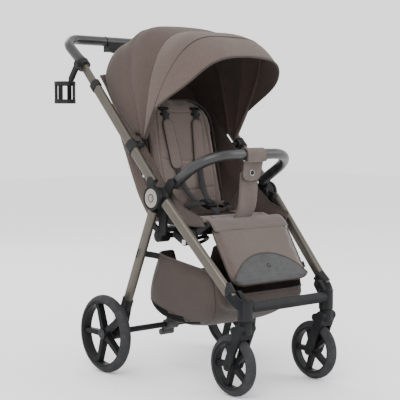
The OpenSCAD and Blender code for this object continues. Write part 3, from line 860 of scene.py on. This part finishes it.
def slab(name, half, y0, y1, z0, z1, material, n=40, m=30):
    """A closed pad in backrest coordinates with a rounded upper end and softened rim."""
    rings = []
    for y in y0 + (y1 - y0) * (1 - np.cos(np.linspace(0.04, math.pi - 0.04, n))) / 2:
        t = (y - y0) / (y1 - y0)
        w = max(back_outline(t, half), half * 0.18)
        squeeze = min(1.0, 0.35 + 5 * min(t, 1 - t))
        ring = oval(m, w, (z1 - z0) / 2 * squeeze, 0.28, 0.55)
        rings.append([tuple(on_back((x, y, (z0 + z1) / 2 + z))) for x, z in ring])
    return loft(name, rings, material)


def groove(distance, width=0.0035):
    """Share of a seam's depth at a distance from it."""
    return np.exp(-((distance / width) ** 2))


def back_seams(co, nr):
    """Two upright seams, three across between them, and side bolsters that stand a little forward."""
    x, y = co[:, 0], (co - np.array(BACK_AT)) @ BACK_UP
    depth = np.zeros(len(co))
    for x0 in (-BOLSTER_X, BOLSTER_X):
        depth += groove(x - x0 * (1 + 0.08 * np.sin(y * 9))) * 0.006
    for y0 in (0.105, 0.205, 0.375):
        curve = y0 - 0.010 * (1 - (x / BOLSTER_X) ** 2)
        depth += np.where(np.abs(x) < BOLSTER_X, groove(y - curve) * 0.0045, 0)
    bolster = np.clip((np.abs(x) - BOLSTER_X) / 0.03, 0, 1) * 0.005
    facing = np.clip(nr @ BACK_FRONT, 0, 1)
    return (facing * (bolster - depth))[:, None] * BACK_FRONT[None, :]


pad = slab("backrest_pad", BACK_HALF - 0.006, BACK_FOOT, BACK_LEN - 0.004, -0.011, 0.010, TAUPE_PAD)
puff(pad, 0.009)
sculpt(pad, back_seams)
cushion_piece(pad, "backrest", "backrest")
shares = np.linspace(0.03, 0.995, 60)
edge = [(back_outline(t, BACK_HALF - 0.001), BACK_FOOT + (BACK_LEN - 0.030) * t) for t in shares]
around = [on_back((x, y, 0.004)) for x, y in edge] + [on_back((-x, y, 0.004)) for x, y in edge[::-1]]
piping("backrest_piping", resample(as_array(around), 220), 0.0025, "backrest")

shell = subdivide(slab("back_shell", 0.160, 0.066, BACK_LEN - 0.008, -0.066, -0.022, DARK_CLOTH))
sculpt(shell, lambda co, nr: nr * np.array([0.003 * noise.noise(Vector(c) * 13) for c in co])[:, None])
cushion_piece(shell, "back_cover", "backrest")


def harness_pad(tag, low, top):
    """A flat cushion with a piped edge between two points of the backrest's face."""
    n, half, thick, lift = 34, 0.023, 0.011, 0.0175
    a, b = np.array(low, float), np.array(top, float)
    length = np.linalg.norm(b - a)
    u = (b - a) / length
    w = np.array([-u[1], u[0]])
    rings, rim = [], []
    for i in range(n):
        t = soft_share(i, n)
        e = min(t, 1 - t) * length
        width = half * (1 - max(0, 1 - e / half) ** 2.4) ** (1 / 2.4) * (1 - 0.10 * t)
        at = a + u * length * t
        ring = oval(22, width, thick / 2 * min(1.0, 0.3 + e / 0.02), 0.6, 0.8)
        rings.append([tuple(on_back((*(at + w * x), lift + thick / 2 + z))) for x, z in ring])
        rim.append([on_back((*(at + w * width * s), lift + thick / 2)) for s in (1, -1)])
    cushion = subdivide(loft("harness_pad_soft_" + tag, rings, TAUPE_PAD))
    line = [r[0] for r in rim] + [r[1] for r in rim[::-1]]
    edging = tube(f"harness_pad_soft_{tag}_piping", resample(as_array(line), 130), 0.0019, WEBBING)
    return cushion, edging


for s, tag in SIDES:
    body, edging = harness_pad(tag, (s * 0.050, 0.168), (s * 0.066, 0.338))
    cushion_piece(body, "harness_pad_" + tag, "backrest")
    trim(edging, "backrest")
    # slot plates above the pads, with a webbing loop through them
    for k, y in enumerate((0.357, 0.377)):
        o = rounded_box(f"harness_slot_{tag}_{k}", (0.021, 0.005, 0.0035), 0.0028, BLACK,
                        lambda p, at=Vector((s * 0.068, y, 0.0175)): on_back(at + p))
        shade_smooth(o)
        trim(o, "backrest")
    loop = [(0.068, 0.376, 0.012), (0.068, 0.362, 0.0235), (0.067, 0.345, 0.0245), (0.066, 0.330, 0.022)]
    web = smooth_path([on_back((s * x, y, z)) for x, y, z in loop], 16)
    webbing("harness_top_web_" + tag, web, (1, 0, 0), WEB_WIDTH, "backrest")
    # shoulder webbing from the pad's lower end to the buckle
    upper = [(0.050, 0.176, 0.0235), (0.046, 0.130, 0.026), (0.036, 0.085, 0.040)]
    lower = [(s * 0.026, -0.022, 0.567), (s * 0.018, -0.046, 0.568)]
    web = smooth_path([on_back((s * x, y, z)) for x, y, z in upper] + lower, 40)
    o = strap("harness_shoulder_web_" + tag, web, (1, 0, 0), WEB_WIDTH)
    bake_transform(o)
    # lap webbing with its adjuster
    lap = [(0.150, 0.000, 0.538), (0.120, -0.012, 0.541), (0.070, -0.040, 0.556), (0.022, -0.054, 0.564)]
    web = smooth_path([(s * x, y, z) for x, y, z in lap], 30)
    webbing("harness_lap_web_" + tag, web, (0, 0.8, 0.35), WEB_WIDTH, "seat_frame")
    at, tilt = Vector((s * 0.088, -0.031, 0.5505)), Matrix.Rotation(-s * 0.32, 3, "Y")
    adjuster = rounded_box("harness_adjuster_" + tag, (0.017, 0.012, 0.004), 0.003, BLACK,
                           lambda p: at + tilt @ p)
    trim(adjuster, "seat_frame")

# ---------------------------------------------------------------- seat cushion

SEAT_HALF = SEAT_HI.x - 0.007


def seat_profile(n=64):
    """Closed side outline of the cushion: a thick front edge over the leg rest's hinge, a flat underside."""
    y0, y1, z0, z1 = SEAT_LO.y, SEAT_HI.y, SEAT_LO.z, SEAT_HI.z
    pts = [(y1 - 0.008, z0 + 0.004), (y0 + 0.030, z0 + 0.004), (y0 + 0.012, z0 + 0.010),
           (y0 + 0.006, z0 + 0.020), (y0 + 0.012, z1 - 0.008), (y0 + 0.034, z1 - 0.003),
           (y0 + 0.110, z1 - 0.008), (y1 - 0.020, z1 - 0.006), (y1 - 0.004, z1 - 0.014)]
    return resample([(*p, 0) for p in pts + pts[:1]], n + 1)[:-1, :2]


def seat_rings(n=42):
    """The profile at n stations across, drawn in towards both ends."""
    prof = seat_profile()
    mid_y, mid_z = prof.mean(0)
    rings = []
    for u in np.linspace(-1, 1, n):
        k = 0.62 + 0.38 * (1 - abs(u) ** 7) ** (1 / 7)
        rings.append([(u * SEAT_HALF, mid_y + (y - mid_y) * (0.94 + 0.06 * k), mid_z + (z - mid_z) * k)
                      for y, z in prof])
    return rings


def seat_shape(co, nr):
    """A shallow dip, the seams, and a skin that stays within the CAD cushion's underside and front."""
    x, y = co[:, 0], co[:, 1]
    d = 0.004 * np.exp(-((x / 0.075) ** 2) - (((y + 0.075) / 0.05) ** 2))
    d += 0.0055 * groove(np.abs(x) - 0.108)
    d += 0.004 * groove(y + 0.158 - 0.02 * (x / 0.15) ** 2)
    out = np.zeros_like(co)
    out[:, 1] = np.clip(SEAT_LO.y - 0.002 - y, 0, None)
    out[:, 2] = np.clip(SEAT_LO.z + 0.0005 - co[:, 2], 0, None) - d * np.clip(nr[:, 2], 0, 1)
    return out


cushion = loft("seat_cushion_soft", seat_rings(), [TAUPE_PAD, SEAT_MESH])
puff(cushion, 0.007, pinned=lambda c: 0.25 + 0.75 * np.clip((c[:, 2] - SEAT_LO.z - 0.006) / 0.012, 0, 1))
sculpt(cushion, seat_shape)
# the ventilated middle of the seat, round the buckle
for p in cushion.data.polygons:
    c = p.center
    if p.normal.z > 0.6 and abs(c.x) < 0.106 and -0.150 < c.y < -0.012:
        p.material_index = 1
cushion_piece(cushion, "seat_cushion", "seat_frame")
line = [(u * (SEAT_HALF - 0.004), SEAT_LO.y + 0.0045 + 0.012 * abs(u) ** 6, SEAT_HI.z - 0.0145)
        for u in np.linspace(-1, 1, 60)]
piping("seat_piping_front", line, 0.0022, "seat_frame")

# side wings of the seat: cloth from the cushion up to the curtain and forward to the leg rest
WING_FOOT = 0.506
WING_TOP = [(-0.238, 0.531), (-0.150, 0.562), (-0.100, 0.600), (-0.060, 0.640), (0.0, 0.600), (0.040, 0.560)]


def wing_point(s, y, v):
    """Point of the wing on side s at y and share v of its height."""
    z = WING_FOOT + (float(np.interp(y, *zip(*WING_TOP))) - WING_FOOT) * v
    x = 0.1765 + 0.0125 * math.sin(math.pi / 2 * v) + 0.0015 * noise.noise(Vector((y * 18, z * 12, s)))
    return (s * x, y, z)


for s, tag in SIDES:
    ys = np.linspace(WING_TOP[0][0], WING_TOP[-1][0], 60)
    wing_P = np.array([[wing_point(s, y, v) for y in ys] for v in np.linspace(0, 1, 16)])
    wing = grid("seat_wing_" + tag, wing_P, DARK_CLOTH, 0.0016)
    trim(wing, "seat_frame")
    piping("seat_wing_piping_" + tag, wing_P[-1][:38], 0.0022, "seat_frame")

# gusset between the cushion's rear edge and the backrest
gusset_P = bridge(lambda x: np.array([x, SEAT_HI.y - 0.016, SEAT_HI.z - 0.006]),
                  lambda x: np.array([x, SEAT_HI.y + 0.012, SEAT_HI.z - 0.012]),
                  lambda x: np.array(on_back((x * 0.97, 0.052, 0.010))), 12, np.linspace(-0.150, 0.150, 31))
gusset = grid("seat_rear_gusset", gusset_P, DARK_CLOTH, 0.0016)
start, end = (0, SEAT_HI.y - 0.014, SEAT_HI.z), tuple(on_back((0, 0.050, 0.010)))
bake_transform(gusset)

# buckle: a moulded body with a push button, and the webbing it hangs from
bc = sum(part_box("buckle"), Vector()) / 2
BUCKLE_HALF = (0.026, 0.024, 0.0105)


def buckle_taper(p):
    """Narrower at the front, thinner at the sides."""
    front, side = max(0, -p.y / BUCKLE_HALF[1]), (p.x / BUCKLE_HALF[0]) ** 2
    return (p.x * (1 - 0.22 * front), p.y, p.z * (1 - 0.12 * side))


body = rounded_box("buckle_body", BUCKLE_HALF, 0.006, BLACK,
                   lambda p: bc + Vector((0, 0.004, 0.004)) + Matrix.Rotation(0.38, 3, "X") @ p, buckle_taper)
subdivide(body)
shade_smooth(body)
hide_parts("buckle")
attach(body, "seat_frame")
button = disc("buckle_button", (0, bc.y + 0.0005, bc.z + 0.0135), (0, -0.37, 0.93), 0.0095, 0.0022, GREY)
trim(button, "seat_frame")
web = smooth_path([(0, bc.y - 0.020, bc.z - 0.006), (0, bc.y - 0.030, bc.z - 0.017),
                   (0, bc.y - 0.034, SEAT_HI.z - 0.006)], 20)
webbing("buckle_web", web, (1, 0, 0), 0.026, "seat_frame", 0.0024)

# ---------------------------------------------------------------- leg rest

CORNER_R = 0.052
LEG_OUT = np.array([0, -math.sin(LEG_TILT), math.cos(LEG_TILT)])
LEG_DOWN = np.array([0, -math.cos(LEG_TILT), -math.sin(LEG_TILT)])


def smooth_step(t):
    t = min(1.0, max(0.0, t))
    return t * t * (3 - 2 * t)


def corner_cut(over):
    """What a round corner takes off at share over of the way into it."""
    return CORNER_R - CORNER_R * (1 - min(1.0, max(0.0, over)) ** 2.4) ** (1 / 2.4)


def leg_half(y, end):
    """Half width of the leg rest at distance y from its hinge: round lower corners, narrower at the hinge."""
    cut = corner_cut(1 - (end - y) / CORNER_R)
    return LEG_HALF - cut - 0.016 * (1 - smooth_step((y - 0.004) / 0.034))


def leg_slab(n=44):
    y0, y1 = -0.006, LEG_LEN - 0.007
    rings = []
    for i in range(n):
        t = soft_share(i, n)
        y = y0 + (y1 - y0) * t
        ring = oval(40, leg_half(y, y1) - 0.003, 0.0085 * min(1.0, 0.35 + min(t, 1 - t) * 7), 0.25, 0.6)
        rings.append([tuple(on_leg((x, y, z))) for x, z in ring])
    return loft("leg_rest_pad", rings, LEG_CLOTH_PAINTED_SHADE)


def leg_seam(co, nr):
    y = (co - np.array(LEG_AT)) @ LEG_DOWN
    facing = np.clip(nr @ LEG_OUT, 0, 1)
    return (-0.004 * groove(y - 0.026) * facing)[:, None] * LEG_OUT[None, :]


# the leg rest pad is in the darker copy of the pad cloth, which is painted shade
leg = sculpt(puff(leg_slab(), 0.006), leg_seam)
cushion_piece(leg, "leg_rest", "leg_rest")

# half-moon guard, ribbed, with its piping, stitching and a plain ring
PATCH_R, PATCH_AT = 0.192, LEG_LEN + 0.084
RIB_PITCH = 0.0105


def patch_edge(x):
    """Upper edge of the guard at x, along the leg rest."""
    return PATCH_AT - math.sqrt(max(PATCH_R**2 - x * x, 0.0))


def leg_rim(x):
    """Lower edge of the leg rest at x, along it."""
    return LEG_LEN - 0.004 - corner_cut((abs(x) - (LEG_HALF - 0.003 - CORNER_R)) / CORNER_R)


def guard_point(x, v):
    a = patch_edge(x)
    y = a + (leg_rim(x) - 0.007 - a) * v
    swell = 0.0150 + 0.0022 * math.sin(math.pi * v) * (1 - (x / 0.16) ** 4)
    rib = 0.0007 * math.cos(2 * math.pi * (y - patch_edge(0)) / RIB_PITCH) * math.sin(math.pi * v)
    return tuple(on_leg((x, y, swell + rib - 0.0035 * max(0, v - 0.8) / 0.2)))


xs = np.linspace(-0.157, 0.157, 73)
patch_P = np.array([[guard_point(x, v) for x in xs] for v in np.linspace(0, 1, 30)])
patch = grid("leg_guard", patch_P, SLATE, 0.0016)
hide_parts("leg_patch")
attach(patch, "leg_rest")
ring = np.array([*patch_P[0], *patch_P[1:, -1], *patch_P[-1][::-1], *patch_P[1:-1, 0][::-1]])
piping("leg_guard_piping", resample(ring, 200), 0.0021, "leg_rest")
inner = ring.mean(0) + (ring - ring.mean(0)) * 0.965 + LEG_OUT * 0.0012
trim(stitches("leg_guard_stitch", inner), "leg_rest")
at = on_leg((0, patch_edge(0) + 0.045, 0.0172))
trim(disc("leg_guard_emblem", at, LEG_OUT, 0.0075, 0.0012, BLACK, ring=0.0045), "leg_rest")
# piping sewn to the pad's own edge, so each point is taken to the nearest point of its skin
ys = 0.012 + (LEG_LEN - 0.016) * np.linspace(0, 1, 50)
edge = [(leg_half(y, LEG_LEN - 0.005) - 0.0025, y) for y in ys]
around = [on_leg((x, y, 0.0045)) for x, y in edge] + [on_leg((-x, y, 0.0045)) for x, y in edge[::-1]]
skin = as_array(v.co for v in leg.data.vertices)
on_edge = []
for q in resample(as_array(around), 180):
    v = skin[np.argmin(((skin - q) ** 2).sum(1))]
    on_edge.append(v + (q - v) * 0.15)
piping("leg_rest_piping", smooth_path(on_edge, 180, 2), 0.0023, "leg_rest")
# soft hinge: the skirt that joins the cushion's front edge to the leg rest
xs = np.linspace(-0.160, 0.160, 41)
skirt_P = bridge(lambda x: np.array([x * 0.97, SEAT_LO.y + 0.010, SEAT_HI.z - 0.004]),
                 lambda x: np.array([x, SEAT_LO.y - 0.016, SEAT_HI.z + 0.001]),
                 lambda x: np.array(on_leg((-x, 0.030, 0.0135))), 14, xs)
for row, v in zip(skirt_P, np.linspace(0, 1, 14)):
    row[:, 2] += [0.0016 * noise.noise(Vector((x * 22, v * 2, 1.3))) for x in xs]
skirt = grid("seat_front_skirt", skirt_P, LEG_CLOTH_PAINTED_SHADE, 0.0018)
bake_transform(skirt)

# ---------------------------------------------------------------- crotch strap, its loop and flap

strap_lo, strap_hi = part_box("crotch_strap")
loop_lo, loop_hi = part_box("strap_loop")
STRAP_HALF = 0.039
STRAP_Y = -0.228
BAR_Y, BAR_Z = loop_lo.y + (loop_hi.y - loop_lo.y) / 2, loop_hi.z - 0.021
WRAP_R = 0.0192


def ribbon(name, path, thick, wave=0.0):
    """A soft flat strap of sewn cloth, along a side view path."""
    n = len(path)
    P = np.array([[(u * STRAP_HALF, q[1] + wave * math.sin(3 * u + 5 * i / (n - 1)), q[2])
                   for u in np.linspace(-1, 1, 21)] for i, q in enumerate(path)])
    return grid(name, P, LEG_CLOTH_PAINTED_SHADE, thick), P


def round_the_bar(start, end, n):
    turns = np.linspace(start, end, n)
    return [(0, BAR_Y + WRAP_R * math.cos(g), BAR_Z + WRAP_R * math.sin(g)) for g in turns]


def flap_row(i, q, n):
    """One row across the flap; its lower end is rounded."""
    left = (n - 1 - i) / (n - 1)
    h = 0.0405 * (1 if left > 0.20 else (1 - (1 - left / 0.20) ** 3.0) ** (1 / 3.0) * 0.999 + 0.001)
    us = np.linspace(-1, 1, 23)
    return [(u * max(h, 0.012), q[1] + 0.0008 * math.sin(4 * u + i * 0.2), q[2]) for u in us]


foot_z = strap_lo.z - 0.022
low = smooth_path([(0, STRAP_Y + 0.012, foot_z), (0, STRAP_Y - 0.006, foot_z + 0.028),
                   (0, STRAP_Y - 0.014, foot_z + 0.060), (0, STRAP_Y - 0.0225, strap_hi.z + 0.016)], 30)
o, _ = ribbon("crotch_strap_soft", low, 0.0055, 0.0012)
subdivide(o)
cushion_piece(o, "crotch_strap", "seat_frame")
for s, tag in SIDES:
    line = [(s * (STRAP_HALF - 0.0045), q[1] - 0.0034, q[2]) for q in low]
    trim(stitches("crotch_stitch_" + tag, line), "seat_frame")
path = round_the_bar(-0.4, math.pi, 26)
path += [(0, BAR_Y - 0.0190, BAR_Z - 0.020), (0, loop_lo.y + 0.0205, loop_lo.z + 0.046),
         (0, -0.2600, loop_lo.z + 0.010), (0, -0.2595, loop_lo.z - 0.016)]
path = resample(path, 60)
flap_P = np.array([flap_row(i, q, len(path)) for i, q in enumerate(path)])
flap = grid("bumper_strap_flap", flap_P, LEG_CLOTH_PAINTED_SHADE, 0.0030)
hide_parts("strap_loop")
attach(flap, "bumper_bar")
line = [*flap_P[14:, -1], *flap_P[14:, 0][::-1]]
piping("bumper_strap_binding", resample(line, 90), 0.0019, "bumper_bar")
o, P = ribbon("bumper_strap_back", resample(round_the_bar(0.3, -math.pi + 0.5, 20), 26), 0.0022)
trim(o, "bumper_bar")
snap_z, snap_axis = loop_lo.z + 0.010, (0, -1, 0.03)
snap = disc("bumper_strap_snap", (0, -0.2625, snap_z), snap_axis, 0.0075, 0.0022, BLACK)
trim(snap, "bumper_bar")
ring = disc("bumper_strap_snap_ring", (0, -0.2620, snap_z), snap_axis, 0.0095, 0.0014, SPRING, ring=0.0075)
trim(ring, "bumper_bar")

# ---------------------------------------------------------------- basket

FLOOR_R = 0.4262
RIM_FRONT = (min(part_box("basket_front")[0].y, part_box("basket_rear")[0].y) + 0.003, 0.354)
RIM_REAR = (0.024, 0.403)


def rim_z(y):
    t = np.clip((y - RIM_FRONT[0]) / (RIM_REAR[0] - RIM_FRONT[0]), 0, 1.05)
    return RIM_FRONT[1] + (RIM_REAR[1] - RIM_FRONT[1]) * t


def basket_point(g, a):
    """g runs round the basket, a from its rim (0) to the middle of its floor (pi/2)."""
    wall, corner = 2 / 6.0, 2 / 7.0
    rho, f = abs(math.cos(a)) ** wall, abs(math.sin(a)) ** wall
    front = RIM_FRONT[0] + 0.002 + 0.060 * max(0, f - 0.55) ** 1.2
    rear = 0.023 + 0.088 * f
    half = 0.1775 + 0.0055 * math.sin(math.pi * min(1, f * 1.05)) - 0.010 * f**3
    across, along = power(math.cos(g), corner), power(math.sin(g), corner)
    x = half * rho * across
    y = (front + rear) / 2 + (rear - front) / 2 * rho * along
    top = rim_z((front + rear) / 2 + (rear - front) / 2 * along)
    # the loading mouth: the rear rim dips in the middle
    if along > 0.9 and rho > 0.2:
        top -= 0.074 * smooth_step((0.094 - abs(x)) / 0.030)
    # the front rim drops to clear the leg rest
    top -= 0.056 * smooth_step((-0.286 - y) / 0.034)
    floor = HUB.z - math.sqrt(FLOOR_R**2 - (y - HUB.y) ** 2) + 0.004
    z = top + (floor - top) * f
    sag = 0.0035 * noise.noise(Vector((x * 7, y * 7, z * 7))) * min(1, f * 3) * (1 if rho > 0.3 else 0.4)
    bulge = (sag if abs(x) < 0.178 else -abs(sag)) * 0.6
    return (x + (bulge if x > 0 else -bulge), y, z - abs(sag) * 0.2)


def slant_z(y):
    """Height of the slanting seam above the mesh corner of each side."""
    return 0.184 + 0.26 * (y + 0.175)


def bend_basket(o):
    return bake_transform(o)


def on_side(s, y, z, lift=0.0012):
    """Point of the basket's side wall s at y and z."""
    near = wall[np.sign(wall[:, 0]) == s]
    k = np.argsort((near[:, 1] - y) ** 2 + (near[:, 2] - z) ** 2)[:4]
    return (near[k, 0].mean() + s * lift, y, z)


levels = np.r_[np.linspace(0, 0.02, 4), np.linspace(0.05, math.pi / 2 - 0.05, 34), [math.pi / 2 - 0.012]]
turns = np.linspace(0, 2 * math.pi, 200, endpoint=False)
basket_P = np.array([[basket_point(g, a) for g in turns] for a in levels])
wall = basket_P[5:36].reshape(-1, 3)
# the basket's main cloth is the darker copy of the canopy cloth, which is painted shade
basket = grid("basket_cloth", basket_P, [BASKET_CLOTH_PAINTED_SHADE, LINING, AIR_MESH], 0.0018, loop_v=True)
bm = bmesh.new()
bm.from_mesh(basket.data)
bmesh.ops.holes_fill(bm, edges=[e for e in bm.edges if e.is_boundary])
bmesh.ops.recalc_face_normals(bm, faces=bm.faces)
for f in bm.faces:
    c = f.calc_center_median()
    # mesh lower corner at the rear of each side, below a slanting seam
    if abs(c.x) > 0.135 and c.y > -0.180 and 0.15 < c.z < slant_z(c.y):
        f.material_index = 2
    if len(f.verts) > 8:
        f.smooth = False
bm.to_mesh(basket.data)
bm.free()
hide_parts("basket_front", "basket_rear")
whole_P = np.concatenate([basket_P, basket_P[:, :1]], 1)
bend_basket(basket)
rim_line = resample(whole_P[0] + np.array([0, 0, 0.001]), 260)
bend_basket(tube("basket_rim_binding", rim_line, 0.0034, PIPING))

SIDE_SEAM = [(-0.262, 0.360), (-0.286, 0.318), (-0.284, 0.262), (-0.240, 0.212), (-0.176, 0.186)]
HANGERS = {
    "front": [(0.178, -0.280, 0.352), (0.188, -0.292, 0.360), (0.199, -0.304, 0.366)],
    "rear": [(0.164, 0.001, 0.390), (0.176, 0.008, 0.394), (0.194, 0.013, 0.398), (0.213, 0.018, 0.402)],
}
for s, tag in SIDES:
    line = [on_side(s, y, slant_z(y)) for y in np.linspace(-0.176, 0.090, 50)]
    o = tube("basket_mesh_piping_" + tag, smooth_path(line, 60, 1), 0.0017, PIPING)
    bend_basket(o)
    line = [on_side(s, q[1], q[2], 0.0016) for q in smooth_path([(0, *p) for p in SIDE_SEAM], 60)]
    o = tube("basket_side_piping_" + tag, smooth_path(line, 70, 1), 0.0019, PIPING)
    bend_basket(o)
    # webbing hangers: front ones to the front tubes, rear ones to the legs
    for name, pts in HANGERS.items():
        path = smooth_path([(s * x, y, z) for x, y, z in pts], 14)
        webbing(f"basket_hanger_{name}_{tag}", path, (0, 0.2, 0.98), 0.020, name + "_frame")

# ---------------------------------------------------------------- trim on the frame

LEG_ANGLE = math.radians(-63.8)
LEG_MARK = HUB + 0.205 * Vector((0, math.cos(LEG_ANGLE), math.sin(LEG_ANGLE)))
TUBE_MIDDLE = HUB + Vector((0, 0.0012, 0.0184))
RIVETS_AT = (0.070, 0.470)

for s, tag in SIDES:
    # plain badge and ring on the hub
    x = outer_face("hub_front_" + tag, s)
    out = (s, 0, 0)
    badge = disc("hub_badge_" + tag, (x - s * 0.0022, HUB.y, HUB.z), out, 0.0305, 0.0022, BADGE)
    trim(badge, "front_frame")
    at = (x - s * 0.0004, HUB.y, HUB.z)
    ring = disc("hub_badge_ring_" + tag, at, out, 0.0135, 0.0008, BLACK, ring=0.0105)
    trim(ring, "front_frame")
    # slot mark on the rear leg and rivets on the push tube
    at = Vector((outer_face("rear_leg_" + tag, s), LEG_MARK.y, LEG_MARK.z))
    mark = rounded_box("leg_slot_" + tag, (0.0012, 0.0022, 0.017), 0.001, BLACK,
                       lambda p: at + Matrix.Rotation(math.pi / 2 + LEG_ANGLE, 3, "X") @ p)
    trim(mark, "rear_frame")
    x = outer_face("push_tube_" + tag, s) - s * 0.0006
    for k, dist in enumerate(RIVETS_AT):
        at = (x, TUBE_MIDDLE.y + dist * math.cos(RISE), TUBE_MIDDLE.z + dist * math.sin(RISE))
        rivet = disc(f"push_rivet_{tag}_{k}", at, out, 0.0042, 0.0014, SPRING, sides=24)
        trim(rivet, "seat_frame")
    # axle caps
    for end, r in (("rear", 0.0165), ("front", 0.0125)):
        rim_name, body = f"{end}_rim_{tag}", f"{end}_wheel_{tag}"
        x, c = outer_face(rim_name, s), sum(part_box(rim_name), Vector()) / 2
        cap = disc(f"{end}_rim_cap_{tag}", (x - s * 0.001, c.y, c.z), out, r, 0.0030, GREY)
        trim(cap, body)
        at = (x + s * 0.0012, c.y, c.z)
        ring = disc(f"{end}_rim_cap_ring_{tag}", at, out, r * 0.62, 0.0014, BLACK, ring=r * 0.5)
        trim(ring, body)

# the grip's seam and the bands at its middle
grip_y, grip_z = (v - 0.017 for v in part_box("grip")[1].yz)
xs = np.linspace(-0.170, -0.060, 30)
for s, tag in SIDES:
    line = [(-s * x, grip_y - 0.0122, grip_z - 0.0122) for x in xs]
    trim(stitches("grip_stitch_" + tag, line), "handle")
for s, tag in SIDES:
    turns = np.linspace(0, 2 * math.pi, 40, endpoint=False)
    line = [(s * 0.0615, grip_y + 0.0174 * math.cos(g), grip_z + 0.0174 * math.sin(g)) for g in turns]
    trim(tube("grip_band_" + tag, line, 0.0012, BLACK, closed=True), "handle")
# white buttons on the two leg rest levers
for s, tag in SIDES:
    button = rounded_box("lever_button_" + tag, (0.0015, 0.008, 0.008), 0.0014, WHITE,
                         lambda p: Vector((s * 0.1728, -0.130, 0.4485)) + p)
    trim(button, "seat_frame")

# ---------------------------------------------------------------- floor, light and camera

FLOOR_HALF, FLOOR_Z = 12, -0.0006
floor_mat, nt, b = new_mat("studio_floor", 0.7, 0.0, 0.2)
pale = mottle(nt, object_coords(nt), 0.6, 2.0, (0.2, 0.93), (0.8, 0.95))
nt.links.new(pale, b.inputs["Base Color"])
corners = [(x * FLOOR_HALF, y * FLOOR_HALF, FLOOR_Z) for x, y in ((-1, -1), (1, -1), (1, 1), (-1, 1))]
add_object("studio_floor", corners, [(0, 1, 2, 3)], floor_mat)

world = bpy.data.worlds.new("studio")
bpy.context.scene.world = world
world.use_nodes = True
world.node_tree.nodes["Background"].inputs["Color"].default_value = (1.0, 1.0, 1.0, 1)
world.node_tree.nodes["Background"].inputs["Strength"].default_value = 1.7


def area_light(name, at, aim, size, power):
    d = bpy.data.lights.new(name, "AREA")
    d.shape = "DISK"
    d.size, d.energy = size, power
    o = bpy.data.objects.new(name, d)
    o.location = at
    o.rotation_euler = (Vector(aim) - Vector(at)).to_track_quat("-Z", "Y").to_euler()
    bpy.context.scene.collection.objects.link(o)


area_light("key", (-2.6, -2.2, 3.4), (0, 0, 0.6), 2.4, 95)
area_light("fill", (2.8, -2.6, 2.0), (0, 0, 0.6), 2.6, 40)
area_light("back", (0.4, 3.2, 3.0), (0, 0, 0.7), 2.4, 55)

# camera: the same standpoint and direction as the pictured front view, framed on the whole pushchair
AZ, EL, DIST = math.radians(-41.86), math.radians(5.73), 3.52
look_from = Vector((math.sin(AZ) * math.cos(EL), -math.cos(AZ) * math.cos(EL), math.sin(EL)))
eye = Vector((0, -0.110, 0.460)) + DIST * look_from
centre = (cad_lo + cad_hi) / 2 - Vector((0.01, 0.02, 0.005))
cam_data = bpy.data.cameras.new("camera")
cam_data.sensor_width = 36
cam_data.lens = 96
cam_data.dof.use_dof = False
cam = bpy.data.objects.new("camera", cam_data)
cam.location = eye
cam.rotation_euler = (centre - eye).to_track_quat("-Z", "Y").to_euler()
bpy.context.scene.collection.objects.link(cam)
bpy.context.scene.camera = cam
